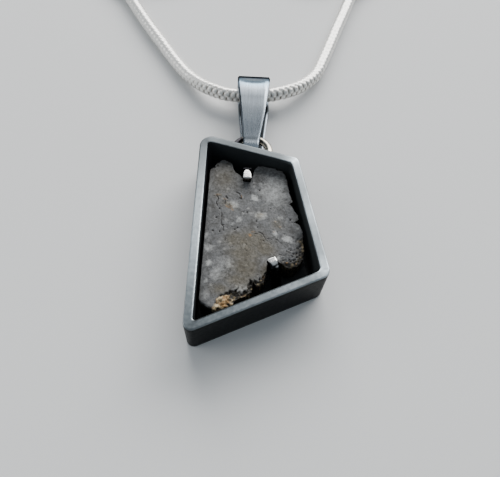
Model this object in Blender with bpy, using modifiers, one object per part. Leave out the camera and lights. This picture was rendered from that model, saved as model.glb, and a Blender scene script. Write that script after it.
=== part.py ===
"""A slice of meteorite held by two claws in a four-sided silver box frame.

The pendant lies on its back: a deep band with a back plate, the slice on the
plate under two claws, a wire loop soldered to the band, and a tapered bail
through the loop. A snake chain runs through the bail and its two ends are
wound up beyond it. Metres, +Z up, +Y from the frame towards the chain.
"""
import math

import bmesh
import bpy
import numpy as np
from mathutils import Matrix, Vector

MM = 0.001
GAP = 0.3 * MM  # left between pieces that touch or are soldered together

# Frame band: outer corners of its plan, clockwise from the top left.
BAND_CORNERS = np.array([(-7.88, 6.29), (4.74, 2.97), (8.17, -13.14), (-8.05, -20.66)]) * MM
BAND_RADII = np.array([1.5, 0.9, 1.2, 0.9]) * MM
BAND_INNER_RADII = np.array([0.4, 0.4, 0.7, 0.25]) * MM
BAND_WALL = 1.0 * MM
BAND_HEIGHT = 6.2 * MM
PLATE_THICKNESS = 0.9 * MM

# Slice: outline of its sawn face, clockwise from the top of the sawn left edge.
SLICE_OUTLINE = np.array([
    (-6.46, 1.85), (-5.88, 2.30), (-5.64, 2.75), (-5.17, 3.36), (-4.62, 3.50), (-3.66, 2.96),
    (-3.48, 2.18), (-3.18, 1.62), (-2.65, 1.25), (-2.35, 0.85), (-1.65, 0.74), (-1.02, 0.92),
    (-0.85, 1.55), (-0.74, 2.16), (-0.28, 2.62), (0.28, 2.74), (1.15, 2.60), (2.01, 2.38),
    (2.87, 2.09), (3.17, 1.52), (3.46, 0.63), (3.53, -0.03), (3.71, -0.92), (3.98, -2.03),
    (4.17, -2.58), (3.84, -2.85), (4.23, -3.68), (4.72, -4.26), (4.81, -5.14), (4.36, -5.47),
    (4.89, -5.80), (5.32, -6.91), (5.38, -8.23), (5.48, -9.33), (5.27, -10.42), (4.73, -11.16),
    (3.94, -11.56), (3.29, -11.50), (2.80, -11.12), (2.30, -10.92), (1.50, -10.98), (1.05, -11.50),
    (0.95, -12.30), (0.67, -13.48), (0.09, -14.11), (-0.35, -13.90), (-0.62, -13.55), (-0.72, -14.75),
    (-1.28, -15.24), (-1.96, -15.65), (-2.63, -15.94), (-2.88, -16.59), (-3.78, -16.98),
    (-4.67, -17.27), (-5.32, -17.01), (-5.96, -16.76), (-6.50, -16.40), (-6.66, -15.95),
]) * MM
SLICE_STEP = 0.36 * MM
SLICE_FACE_Z = 4.4 * MM
# Share of the thickness, and how far the broken edge stands back there.
SLICE_LEVELS = ((0.0, 0.22), (0.16, 0.05), (0.42, 0.10), (0.68, 0.0), (0.88, 0.0), (1.0, 0.03))
SLICE_ROUGHNESS = 0.15 * MM
# Pits in the face: place and radius.
SLICE_PITS = (
    (-5.35, -2.35, 0.30), (-5.90, 1.20, 0.34), (-3.15, -1.90, 0.24), (-4.45, -6.20, 0.22),
    (3.55, -4.85, 0.30), (4.05, -9.60, 0.34), (4.60, -10.35, 0.30), (3.30, -10.75, 0.28),
    (-0.35, -13.10, 0.34), (-1.75, -14.75, 0.32), (-2.35, -15.20, 0.28), (1.35, -3.65, 0.22),
)
PIT_SINK = 0.45  # share of a pit's radius that lies under the face

# Claws: rectangular silver wire, bent over the slice's edge.
CLAW_WIDTH = 1.1 * MM
CLAW_THICKNESS = 0.85 * MM
CLAW_TIP = 0.8 * MM
UPPER_CLAW_FOOT = (-1.67 * MM, 1.68 * MM)
UPPER_CLAW_TURN = 180.0
UPPER_CLAW_REACH = 1.30 * MM
LOWER_CLAW_FOOT = (2.43 * MM, -13.10 * MM)
LOWER_CLAW_TURN = 26.0
LOWER_CLAW_LEAN = 1.35 * MM
LOWER_CLAW_REACH = 1.05 * MM

# Hanging loop: half a ring of round wire on two legs, square to the top wall.
LOOP_CENTRE = (-1.11 * MM, 6.74 * MM)
LOOP_RADIUS = 2.45 * MM
LOOP_WIRE = 1.0 * MM
LOOP_FAR_Z = 1.85 * MM
LOOP_DIP = 5.8  # degrees by which the far side hangs lower

# Bail: one tapered strip folded to a closed loop, seen from the side as two
# round ends joined by straight leaves.
BAIL_X = -1.13 * MM
BAIL_FOLD = (17.9 * MM, 2.1 * MM)
BAIL_FOLD_RADIUS = 2.1 * MM
BAIL_FOOT = (7.65 * MM, 1.8 * MM)
BAIL_FOOT_RADIUS = 1.8 * MM
BAIL_STRIP = 0.72 * MM
# Half width of the strip at a place along it.
BAIL_HALF_WIDTHS = ((5.0, 0.98), (8.2, 1.27), (11.0, 1.54), (14.0, 1.86), (16.4, 2.12), (18.4, 2.33),
                    (20.4, 2.40))

# Snake chain: hand-chosen points of its route on each side of the bail, in
# millimetres, with the height of its middle where it lies on the surface.
CHAIN_WIRE = 2.0 * MM
LYING = 1.005
LEFT_ROUTE = (
    (-1.28, 16.95, 2.10), (-3.07, 16.87, 2.15), (-5.29, 17.04, 2.20), (-6.74, 17.66, 2.10),
    (-8.24, 18.60, 1.85), (-9.74, 19.99, 1.50), (-11.27, 21.67, 1.22), (-13.39, 24.60, 1.04),
    (-15.97, 28.59, LYING), (-18.17, 31.95, LYING), (-21.90, 38.22, LYING), (-23.05, 40.15, LYING),
)
RIGHT_ROUTE = (
    (-0.98, 16.95, 2.10), (1.65, 17.34, 2.15), (2.84, 17.71, 2.17), (4.34, 18.45, 2.05),
    (5.89, 19.65, 1.75), (7.47, 21.36, 1.40), (8.68, 23.31, 1.12), (9.73, 26.05, 1.02),
    (10.95, 29.48, LYING), (12.31, 33.47, LYING), (13.66, 37.19, LYING), (14.86, 40.64, LYING),
    (15.95, 43.10, LYING),
)
# Coils: centre in millimetres, the angle at which the strand meets the outer
# turn, and the way it is wound, +1 for anticlockwise.
LEFT_COIL = ((-19.30, 54.90), 225.0, -1)
RIGHT_COIL = ((9.90, 56.95), -35.0, 1)
COIL_TURNS = 2.6
COIL_OUTER = 13.0 * MM
COIL_PITCH = 2.06 * MM
# Pieces in a coil's hollow are placed in millimetres on two axes from its
# centre: the first lies this far round from the end of the last turn, and the
# second points the way that the coil is wound.
HOLLOW_TURN = 130.0
TAIL_ROUTE = ((0.92, -5.22), (2.40, -4.62), (3.38, -3.60), (3.68, -2.85))
CAP_ENDS = ((3.70, -2.55), (3.70, 0.25))
CAP_RADIUS = 1.25 * MM
LINK_PLACE = (3.30, 1.87)
LINK_RADIUS = 1.0 * MM
TAG_PLACE = (3.10, 2.54)
TAG_RADIUS = 1.65 * MM
LINK_WIRE = 0.6 * MM
CLASP_EYE = (0.70, 3.00)
CLASP_NOSE = (-2.17, -2.39)
CLASP_EYE_RADIUS = 1.1 * MM
CLASP_NOSE_RADIUS = 1.8 * MM
CLASP_BAR = 0.7 * MM
CLASP_HEIGHT = 1.7 * MM


def clear_scene():
    for thing in list(bpy.data.objects):
        bpy.data.objects.remove(thing, do_unlink=True)


def new_collection(name):
    collection = bpy.data.collections.new(name)
    bpy.context.scene.collection.children.link(collection)
    return collection


def finish(name, colour, roughness, metallic=1.0):
    material = bpy.data.materials.new(name)
    material.use_nodes = True
    shader = material.node_tree.nodes["Principled BSDF"]
    shader.inputs["Base Color"].default_value = (*colour, 1.0)
    shader.inputs["Roughness"].default_value = roughness
    shader.inputs["Metallic"].default_value = metallic
    return material


def add(name, data, collection, material=None):
    thing = bpy.data.objects.new(name, data)
    if material is not None:
        data.materials.append(material)
    collection.objects.link(thing)
    return thing


def as_cutter(thing):
    thing.hide_render = True
    thing.display_type = "WIRE"
    return thing


def boolean(thing, cutter, operation):
    modifier = thing.modifiers.new(operation.lower(), "BOOLEAN")
    modifier.operation = operation
    modifier.solver = "EXACT"
    modifier.object = cutter


def cyclic_spline(curve, points):
    spline = curve.splines.new("POLY")
    spline.points.add(len(points) - 1)
    for place, (x, y) in zip(spline.points, points):
        place.co = (x, y, 0.0, 1.0)
    spline.use_cyclic_u = True


def flat_curve(name, outlines, thickness):
    """A flat outline, with any holes in it, as a 2D curve of this thickness about z = 0."""
    curve = bpy.data.curves.new(name, "CURVE")
    curve.dimensions = "2D"
    curve.fill_mode = "BOTH"
    curve.extrude = thickness / 2
    for outline in outlines:
        cyclic_spline(curve, outline)
    return curve


def tube_curve(name, points, radius, closed=False):
    curve = bpy.data.curves.new(name, "CURVE")
    curve.dimensions = "3D"
    curve.bevel_depth = radius
    curve.bevel_resolution = 2
    curve.use_fill_caps = not closed
    spline = curve.splines.new("POLY")
    spline.points.add(len(points) - 1)
    for place, (x, y, z) in zip(spline.points, points):
        place.co = (x, y, z, 1.0)
    spline.use_cyclic_u = closed
    return curve


def mesh_from(thing, collection):
    """The curve object as a mesh object with its caps welded on."""
    graph = bpy.context.evaluated_depsgraph_get()
    mesh = bpy.data.meshes.new_from_object(thing.evaluated_get(graph))
    work = bmesh.new()
    work.from_mesh(mesh)
    bmesh.ops.remove_doubles(work, verts=work.verts, dist=0.001 * MM)
    bmesh.ops.recalc_face_normals(work, faces=work.faces)
    work.to_mesh(mesh)
    work.free()
    name = thing.name
    matrix = thing.matrix_world.copy()
    bpy.data.objects.remove(thing, do_unlink=True)
    made = add(name, mesh, collection)
    made.matrix_world = matrix
    return made


def rounded_outline(corners, radii, steps=7):
    """The closed outline through these corners, each turned on its own radius."""
    points = []
    count = len(corners)
    for i, corner in enumerate(corners):
        back = corners[i - 1] - corner
        ahead = corners[(i + 1) % count] - corner
        back = back / np.linalg.norm(back)
        ahead = ahead / np.linalg.norm(ahead)
        half = math.acos(np.clip(back @ ahead, -1, 1)) / 2
        middle = (back + ahead) / np.linalg.norm(back + ahead)
        centre = corner + middle * radii[i] / math.sin(half)
        start = corner + back * radii[i] / math.tan(half) - centre
        end = corner + ahead * radii[i] / math.tan(half) - centre
        first = math.atan2(start[1], start[0])
        sweep = (math.atan2(end[1], end[0]) - first + math.pi) % (2 * math.pi) - math.pi
        for angle in first + sweep * np.linspace(0, 1, steps):
            points.append(centre + radii[i] * np.array([math.cos(angle), math.sin(angle)]))
    return np.array(points)


def inset_corners(corners, inset):
    """The corners of the same outline moved in by this much on every side."""
    middle = corners.mean(axis=0)
    lines = []
    for i, corner in enumerate(corners):
        along = corners[(i + 1) % len(corners)] - corner
        along = along / np.linalg.norm(along)
        inward = np.array([-along[1], along[0]])
        if inward @ (middle - corner) < 0:
            inward = -inward
        lines.append((corner + inward * inset, along))
    moved = []
    for i in range(len(corners)):
        (p, a), (q, b) = lines[i - 1], lines[i]
        step = np.linalg.solve(np.array([a, -b]).T, q - p)
        moved.append(p + a * step[0])
    return np.array(moved)


def smooth_path(route, spacing):
    """Points a spacing apart on the centripetal curve through the route's points."""
    route = np.asarray(route, float)
    ends = np.vstack([2 * route[0] - route[1], route, 2 * route[-1] - route[-2]])
    fine = []
    for p0, p1, p2, p3 in zip(ends[:-3], ends[1:-2], ends[2:-1], ends[3:]):
        knots = np.cumsum([0.0] + [math.sqrt(np.linalg.norm(b - a)) for a, b in ((p0, p1), (p1, p2), (p2, p3))])
        t = np.linspace(knots[1], knots[2], 24, endpoint=False)[:, None]
        a1 = ((knots[1] - t) * p0 + (t - knots[0]) * p1) / (knots[1] - knots[0])
        a2 = ((knots[2] - t) * p1 + (t - knots[1]) * p2) / (knots[2] - knots[1])
        a3 = ((knots[3] - t) * p2 + (t - knots[2]) * p3) / (knots[3] - knots[2])
        b1 = ((knots[2] - t) * a1 + (t - knots[0]) * a2) / (knots[2] - knots[0])
        b2 = ((knots[3] - t) * a2 + (t - knots[1]) * a3) / (knots[3] - knots[1])
        fine.append(((knots[2] - t) * b1 + (t - knots[1]) * b2) / (knots[2] - knots[1]))
    fine = np.vstack(fine + [route[-1:]])
    length = np.concatenate([[0.0], np.cumsum(np.linalg.norm(np.diff(fine, axis=0), axis=1))])
    count = max(3, round(length[-1] / spacing) + 1)
    wanted = np.linspace(0, length[-1], count)
    return np.stack([np.interp(wanted, length, fine[:, k]) for k in range(3)], axis=1)


def make_band(parts, material):
    outer = rounded_outline(BAND_CORNERS, BAND_RADII)
    inner = rounded_outline(inset_corners(BAND_CORNERS, BAND_WALL), BAND_INNER_RADII, steps=5)
    band = add("frame_band", flat_curve("frame_band", (outer, inner), BAND_HEIGHT), parts, material)
    band.location.z = BAND_HEIGHT / 2


def make_plate(parts, material):
    corners = inset_corners(BAND_CORNERS, BAND_WALL + GAP)
    outline = rounded_outline(corners, BAND_INNER_RADII, steps=5)
    plate = add("back_plate", flat_curve("back_plate", (outline,), PLATE_THICKNESS), parts, material)
    plate.location.z = PLATE_THICKNESS / 2


def slice_ring(outline, inward, level, back, sawn):
    """The outline at one level of the slice: rough where it broke, straight where it was sawn."""
    count = len(outline)
    at = np.arange(count) / count * 2 * math.pi
    wave = (
        np.sin(17 * at + 9.1 * level)
        + 0.8 * np.sin(29 * at - 6.7 * level + 1.3)
        + 0.6 * np.sin(43 * at + 14.3 * level + 4.0)
    )
    broken = back * MM + SLICE_ROUGHNESS * (0.5 + 0.3 * wave)
    lower_edge = np.clip((-9.5 * MM - outline[:, 1]) / (3.0 * MM), 0, 1)
    ledge = 0.35 * MM * lower_edge * (level > 0.95)
    moved = np.where(sawn, 0.02 * MM, np.clip(broken, 0, None) + ledge)
    return outline + inward * moved[:, None]


def make_slice(parts, cutters, material):
    """The slice: rings of its outline from the underside up to the sawn face, with pits cut in."""
    closed = np.vstack([SLICE_OUTLINE, SLICE_OUTLINE[:1]])
    length = np.concatenate([[0.0], np.cumsum(np.linalg.norm(np.diff(closed, axis=0), axis=1))])
    at = np.linspace(0, length[-1], round(length[-1] / SLICE_STEP), endpoint=False)
    outline = np.stack([np.interp(at, length, closed[:, k]) for k in range(2)], axis=1)
    along = np.roll(outline, -2, axis=0) - np.roll(outline, 2, axis=0)
    along /= np.linalg.norm(along, axis=1)[:, None]
    inward = np.stack([along[:, 1], -along[:, 0]], axis=1)
    sawn = outline[:, 0] < -6.4 * MM
    bottom = PLATE_THICKNESS + GAP
    work = bmesh.new()
    rings = []
    for level, back in SLICE_LEVELS:
        z = bottom + (SLICE_FACE_Z - bottom) * level
        ring = slice_ring(outline, inward, level, back, sawn)
        rings.append([work.verts.new((x, y, z)) for x, y in ring])
    count = len(outline)
    for low, high in zip(rings[:-1], rings[1:]):
        for i in range(count):
            j = (i + 1) % count
            work.faces.new((low[i], low[j], high[j], high[i]))
    caps = [work.faces.new(rings[0]), work.faces.new(rings[-1])]
    bmesh.ops.triangulate(work, faces=caps)
    bmesh.ops.recalc_face_normals(work, faces=work.faces)
    mesh = bpy.data.meshes.new("meteorite_slice")
    work.to_mesh(mesh)
    work.free()
    stone = add("meteorite_slice", mesh, parts, material)

    pits = bmesh.new()
    for x, y, radius in SLICE_PITS:
        lift = SLICE_FACE_Z + (1 - 2 * PIT_SINK) * radius * MM
        bmesh.ops.create_icosphere(
            pits, subdivisions=1, radius=radius * MM, matrix=Matrix.Translation((x * MM, y * MM, lift)))
    pit_mesh = bpy.data.meshes.new("slice_pits")
    pits.to_mesh(pit_mesh)
    pits.free()
    boolean(stone, as_cutter(add("slice_pits", pit_mesh, cutters)), "DIFFERENCE")


def claw_outline(lean, reach):
    """Side view of a claw from its foot on the plate: a shaft, then a tip bent over the slice."""
    half = CLAW_THICKNESS / 2
    foot = PLATE_THICKNESS + GAP
    under = SLICE_FACE_Z + GAP
    top = under + CLAW_TIP
    end = lean + reach
    chamfer = 0.18 * MM
    return [
        (-half, foot), (half, foot), (lean + half, under), (end, under), (end, top - chamfer),
        (end - chamfer, top), (lean - 0.1 * half, top), (lean - 0.75 * half, top - 1.4 * chamfer),
        (lean - half, under - 0.2 * CLAW_TIP),
    ]


def make_claw(name, foot, turn, lean, reach, parts, material):
    """A claw whose tip points this many degrees anticlockwise from +Y."""
    claw = add(name, flat_curve(name, (claw_outline(lean, reach),), CLAW_WIDTH), parts, material)
    direction = Vector((-math.sin(math.radians(turn)), math.cos(math.radians(turn)), 0.0))
    across = direction.cross(Vector((0, 0, 1)))
    turned = Matrix((direction, Vector((0, 0, 1)), across)).transposed().to_4x4()
    claw.matrix_world = Matrix.Translation((*foot, 0.0)) @ turned


def make_loop(parts, material):
    """Half a ring on two legs that run square to the band's top wall."""
    left, right = BAND_CORNERS[0], BAND_CORNERS[1]
    along = (right - left) / np.linalg.norm(right - left)
    out = np.array([-along[1], along[0]])
    centre = np.array(LOOP_CENTRE)
    to_wall = float((centre - left) @ out)
    angles = np.radians(np.linspace(0, 180, 19))
    arc = [(LOOP_RADIUS * math.cos(a), LOOP_RADIUS * math.sin(a)) for a in angles]
    leg = to_wall - GAP
    outline = [(LOOP_RADIUS, -leg), (LOOP_RADIUS, -leg / 2), *arc, (-LOOP_RADIUS, -leg / 2), (-LOOP_RADIUS, -leg)]
    slope = math.tan(math.radians(LOOP_DIP))
    points = []
    for across, ahead in outline:
        x, y = centre + along * across + out * ahead
        points.append((x, y, LOOP_FAR_Z + slope * (LOOP_RADIUS - ahead)))
    add("hanging_loop", tube_curve("hanging_loop", points, LOOP_WIRE / 2), parts, material)


def round_ended(start, end, start_radius, end_radius, inset, steps=13):
    """The outline round two circles of unlike size, moved in by inset."""
    start, end = np.array(start), np.array(end)
    small, big = start_radius - inset, end_radius - inset
    lean = math.atan2(*(end - start)[::-1])
    spread = math.acos((big - small) / np.linalg.norm(end - start))
    points = []
    for a in np.linspace(lean - spread, lean + spread, steps):
        points.append((end[0] + big * math.cos(a), end[1] + big * math.sin(a)))
    for a in np.linspace(lean + spread, lean - spread + 2 * math.pi, steps):
        points.append((start[0] + small * math.cos(a), start[1] + small * math.sin(a)))
    return points


def make_bail(parts, cutters, material):
    """The folded strip's side view, cut to the strip's tapering plan."""
    widest = 2.2 * max(w for _, w in BAIL_HALF_WIDTHS) * MM
    ends = (BAIL_FOOT, BAIL_FOLD, BAIL_FOOT_RADIUS, BAIL_FOLD_RADIUS)
    sides = (round_ended(*ends, 0.0), round_ended(*ends, BAIL_STRIP))
    band = add("bail", flat_curve("bail", sides, widest), parts)
    side_on = Matrix(((0, 0, 1), (1, 0, 0), (0, 1, 0))).to_4x4()
    band.matrix_world = Matrix.Translation((BAIL_X, 0, 0)) @ side_on
    bpy.context.view_layer.update()
    band = mesh_from(band, parts)
    band.data.materials.append(material)
    right = [(BAIL_X + w * MM, y * MM) for y, w in BAIL_HALF_WIDTHS]
    left = [(BAIL_X - w * MM, y * MM) for y, w in reversed(BAIL_HALF_WIDTHS)]
    plan = add("bail_plan", flat_curve("bail_plan", (right + left,), 4 * BAIL_FOLD_RADIUS), cutters)
    plan.location.z = BAIL_FOLD_RADIUS
    bpy.context.view_layer.update()
    boolean(band, as_cutter(mesh_from(plan, cutters)), "INTERSECT")


def make_coil(name, centre, parts, material):
    """All turns of a coil as one ring, turned from a chamfered rectangle."""
    outer = COIL_OUTER + CHAIN_WIRE / 2
    inner = COIL_OUTER - COIL_TURNS * COIL_PITCH - CHAIN_WIRE / 2
    chamfer = 0.3 * CHAIN_WIRE
    profile = [
        (outer - chamfer, CHAIN_WIRE), (outer, CHAIN_WIRE - chamfer), (outer, chamfer), (outer - chamfer, 0.0),
        (inner + chamfer, 0.0), (inner, chamfer), (inner, CHAIN_WIRE - chamfer), (inner + chamfer, CHAIN_WIRE),
    ]
    count = len(profile)
    mesh = bpy.data.meshes.new(name)
    mesh.from_pydata([(r, 0.0, z) for r, z in profile], [(k, (k + 1) % count) for k in range(count)], [])
    coil = add(name, mesh, parts, material)
    coil.location = (*centre, 0.0)
    turn = coil.modifiers.new("turn", "SCREW")
    turn.axis = "Z"
    turn.steps = 48
    turn.render_steps = 48
    turn.use_merge_vertices = True
    turn.merge_threshold = 0.001 * MM


def hollow_axes(coil):
    """Centre and the two axes on which the pieces in the coil's hollow are placed."""
    centre, start, way = coil
    angle = math.radians(start + way * (360 * COIL_TURNS + HOLLOW_TURN))
    first = np.array([math.cos(angle), math.sin(angle)])
    return np.array(centre) * MM, first, way * np.array([-first[1], first[0]])


def in_hollow(coil, place):
    centre, first, second = hollow_axes(coil)
    return centre + (first * place[0] + second * place[1]) * MM


def make_side(side, route, coil, parts, material):
    """One side of the chain: its strand, its coil, the tail in the hollow, and the end cap."""
    points = smooth_path(np.array(route) * MM, 2 * CHAIN_WIRE)
    add(f"chain_{side}", tube_curve(f"chain_{side}", points, CHAIN_WIRE / 2), parts, material)
    make_coil(f"coil_{side}", np.array(coil[0]) * MM, parts, material)
    tail = [(*in_hollow(coil, place), LYING * MM) for place in TAIL_ROUTE]
    add(f"chain_tail_{side}", tube_curve(f"chain_tail_{side}", tail, CHAIN_WIRE / 2), parts, material)
    ends = [(*in_hollow(coil, place), CAP_RADIUS + 0.005 * MM) for place in CAP_ENDS]
    add(f"end_cap_{side}", tube_curve(f"end_cap_{side}", ends, CAP_RADIUS), parts, material)


def make_link(name, coil, place, radius, parts, material):
    """A closed ring of wire that lies in the coil's hollow."""
    x, y = in_hollow(coil, place)
    angles = np.linspace(0, 2 * math.pi, 24, endpoint=False)
    points = [(x + radius * math.cos(a), y + radius * math.sin(a), LYING * MM) for a in angles]
    add(name, tube_curve(name, points, LINK_WIRE / 2, closed=True), parts, material)


def make_clasp(coil, parts, material):
    """The clasp's drop-shaped body, from its small eye to its wide nose."""
    ends = (in_hollow(coil, CLASP_EYE), in_hollow(coil, CLASP_NOSE), CLASP_EYE_RADIUS, CLASP_NOSE_RADIUS)
    outlines = (round_ended(*ends, 0.0), round_ended(*ends, CLASP_BAR))
    clasp = add("clasp", flat_curve("clasp", outlines, CLASP_HEIGHT), parts, material)
    clasp.location.z = CLASP_HEIGHT / 2


def build():
    clear_scene()
    parts = new_collection("meteorite_pendant")
    cutters = new_collection("meteorite_pendant_cutters")
    satin = finish("satin_silver", (0.44, 0.47, 0.50), 0.42)
    dark = finish("oxidised_silver", (0.10, 0.105, 0.115), 0.5)
    bright = finish("bright_silver", (0.86, 0.85, 0.82), 0.25)
    stone = finish("meteorite", (0.24, 0.235, 0.225), 0.75, 0.0)
    make_band(parts, satin)
    make_plate(parts, dark)
    make_slice(parts, cutters, stone)
    make_claw("claw_upper", UPPER_CLAW_FOOT, UPPER_CLAW_TURN, 0.0, UPPER_CLAW_REACH, parts, bright)
    make_claw("claw_lower", LOWER_CLAW_FOOT, LOWER_CLAW_TURN, LOWER_CLAW_LEAN, LOWER_CLAW_REACH, parts, bright)
    make_loop(parts, bright)
    make_bail(parts, cutters, satin)
    make_side("left", LEFT_ROUTE, LEFT_COIL, parts, bright)
    make_side("right", RIGHT_ROUTE, RIGHT_COIL, parts, bright)
    make_link("clasp_link", LEFT_COIL, LINK_PLACE, LINK_RADIUS, parts, bright)
    make_link("tag_ring", RIGHT_COIL, TAG_PLACE, TAG_RADIUS, parts, bright)
    make_clasp(LEFT_COIL, parts, bright)


build()
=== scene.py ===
"""Looks of the meteorite pendant: a slice of meteorite in a deep silver box frame, on a snake chain.

Everything is in metres in the frame of the CAD model: the pendant lies on its back on z = 0,
and +Y runs from the frame towards the chain.
"""
import math
from itertools import product

import bpy
import numpy as np
from mathutils import Matrix, Vector


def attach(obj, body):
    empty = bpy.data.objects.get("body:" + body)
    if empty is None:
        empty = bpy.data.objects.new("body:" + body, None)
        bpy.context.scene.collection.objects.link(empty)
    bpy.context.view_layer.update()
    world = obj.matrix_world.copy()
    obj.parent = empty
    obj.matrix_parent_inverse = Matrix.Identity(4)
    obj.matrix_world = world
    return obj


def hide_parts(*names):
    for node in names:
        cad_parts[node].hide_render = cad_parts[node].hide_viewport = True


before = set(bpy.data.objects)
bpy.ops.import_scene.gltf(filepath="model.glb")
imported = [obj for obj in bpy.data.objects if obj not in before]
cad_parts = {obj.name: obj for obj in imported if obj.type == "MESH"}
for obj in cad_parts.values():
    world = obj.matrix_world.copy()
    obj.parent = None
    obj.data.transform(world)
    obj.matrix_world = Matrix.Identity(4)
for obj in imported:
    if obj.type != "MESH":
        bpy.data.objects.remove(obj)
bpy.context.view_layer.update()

MM = 0.001


# Camera. It looks down on the pendant from the foot of the frame, turned a little
# to the right and rolled, as the photograph was taken.
CAMERA_PLACE = Vector((-2.50, -36.20, 57.54)) * MM
LOOK_DOWN = math.radians(62.0)
LOOK_ASIDE = Vector((0.0499, 0.9988, 0.0))
CAMERA_ROLL = math.radians(4.79)
FOCAL_PIXELS = 502.31
PICTURE_WIDTH = 500
SENSOR = 36.0

ahead = LOOK_ASIDE * math.cos(LOOK_DOWN) - Vector((0, 0, math.sin(LOOK_DOWN)))
level_right = Vector((LOOK_ASIDE.y, -LOOK_ASIDE.x, 0.0))
level_up = level_right.cross(ahead)
right = level_right * math.cos(CAMERA_ROLL) + level_up * math.sin(CAMERA_ROLL)
up = level_up * math.cos(CAMERA_ROLL) - level_right * math.sin(CAMERA_ROLL)
lens = bpy.data.cameras.new("camera")
lens.lens = FOCAL_PIXELS / PICTURE_WIDTH * SENSOR
lens.sensor_width = SENSOR
lens.clip_start = 1 * MM
lens.clip_end = 10.0
camera = bpy.data.objects.new("camera", lens)
camera.matrix_world = Matrix.Translation(CAMERA_PLACE) @ Matrix((right, up, -ahead)).transposed().to_4x4()
bpy.context.scene.collection.objects.link(camera)
bpy.context.scene.camera = camera


# Snake chain. Round silver snake chain, 2 mm thick: small cupped plates pushed
# into each other, so that their edges show as staggered rows of scales. It runs
# through the bail. The length that isn't in view is wound up flat on each side.
CHAIN_THICKNESS = 2.0 * MM
LYING = 1.005
LEFT_ROUTE = (
    (-1.13, 16.95, 2.1), (-3.07, 16.87, 2.15), (-5.29, 17.04, 2.2), (-6.74, 17.66, 2.1),
    (-8.24, 18.6, 1.85), (-9.74, 19.99, 1.5), (-11.27, 21.67, 1.22), (-13.39, 24.6, 1.04),
    (-15.97, 28.59, LYING), (-18.17, 31.95, LYING), (-21.9, 38.22, LYING), (-23.05, 40.15, LYING),
)
RIGHT_ROUTE = (
    (-1.13, 16.95, 2.1), (1.65, 17.34, 2.15), (2.84, 17.71, 2.17), (4.34, 18.45, 2.05),
    (5.89, 19.65, 1.75), (7.47, 21.36, 1.4), (8.68, 23.31, 1.12), (9.73, 26.05, 1.02),
    (10.95, 29.48, LYING), (12.31, 33.47, LYING), (13.66, 37.19, LYING), (14.86, 40.64, LYING),
    (15.95, 43.1, LYING),
)
LEFT_COIL = ((-19.30, 54.90), 225.0, -1)
RIGHT_COIL = ((9.90, 56.95), -35.0, 1)
COIL_TURNS = 2.6
COIL_OUTER = 13.0
COIL_PITCH = 2.06
COIL_STEP = 12.0
HOLLOW_TURN = 130.0
INWARD_TURN = 50.0
INWARD_STEP = 12.5
INWARD_RADIUS = 5.3
TAIL_ROUTE = ((2.40, -4.62), (3.38, -3.60), (3.70, -2.40))
SCALE_PITCH = 0.84 * MM
SCALE_ROWS = 8
SCALE_DEPTH = 0.06
GAPING_DEPTH = 0.19
GAPING_BEND = 14.0 * MM
BEND_REACH = 3
HUMP_LENGTH = 0.54
HUMP_WIDTH = 0.84
HUMP_FULLNESS = 0.7
RINGS_PER_SCALE = 8
SAMPLES_AROUND = 40


def unit(vectors):
    """The same directions, one unit long."""
    return vectors / np.linalg.norm(vectors, axis=-1, keepdims=True)


def left_of(vectors):
    """Flat vectors turned a quarter turn to the left."""
    return np.stack([-vectors[..., 1], vectors[..., 0]], axis=-1)


def directions(angle):
    """Flat unit vectors at these angles."""
    return np.stack([np.cos(angle), np.sin(angle)], axis=-1)


def circle(count):
    """Directions at equal steps round a full turn."""
    return directions(np.arange(count) / count * 2 * math.pi)


def raised(flat, height):
    """Flat places with a height added."""
    return np.concatenate([flat, np.broadcast_to(height, flat.shape[:-1])[..., None]], axis=-1)


def lengths(points):
    """Length of a line up to each of its points."""
    return np.append(0.0, np.cumsum(np.linalg.norm(np.diff(points, axis=0), axis=1)))


def at_lengths(points, length, wanted):
    """The places at the wanted lengths along a line."""
    return np.stack([np.interp(wanted, length, column) for column in points.T], axis=1)


def between(share, first, second, start, end):
    """Straight blend of two places as share runs from start to end."""
    return ((end - share) * first + (share - start) * second) / (end - start)


def smooth_path(route, spacing, fineness=24):
    """Points a spacing apart on the centripetal Catmull-Rom curve through a route, and its length."""
    route = np.asarray(route, float)
    ends = np.vstack([2 * route[0] - route[1], route, 2 * route[-1] - route[-2]])
    fine = []
    for near in zip(ends[:-3], ends[1:-2], ends[2:-1], ends[3:]):
        knots = np.cumsum([0.0] + [math.sqrt(np.linalg.norm(b - a)) for a, b in zip(near, near[1:])])
        share = np.linspace(knots[1], knots[2], fineness, endpoint=False)[:, None]
        for reach in (1, 2):
            near = [between(share, *pair) for pair in zip(near, near[1:], knots, knots[reach:])]
        fine.append(between(share, *near, knots[1], knots[2]))
    fine = np.vstack(fine + [route[-1:]])
    length = lengths(fine)
    wanted = np.linspace(0, length[-1], max(3, round(length[-1] / spacing) + 1))
    return at_lengths(fine, length, wanted), length[-1]


def in_hollow(coil, place):
    """A place in a coil's hollow, on axes that turn with the end of its last turn, in millimetres."""
    centre, start, way = coil
    first = directions(math.radians(start + way * (360 * COIL_TURNS + HOLLOW_TURN)))
    return np.array(centre) + first * place[0] + way * left_of(first) * place[1]


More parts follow.
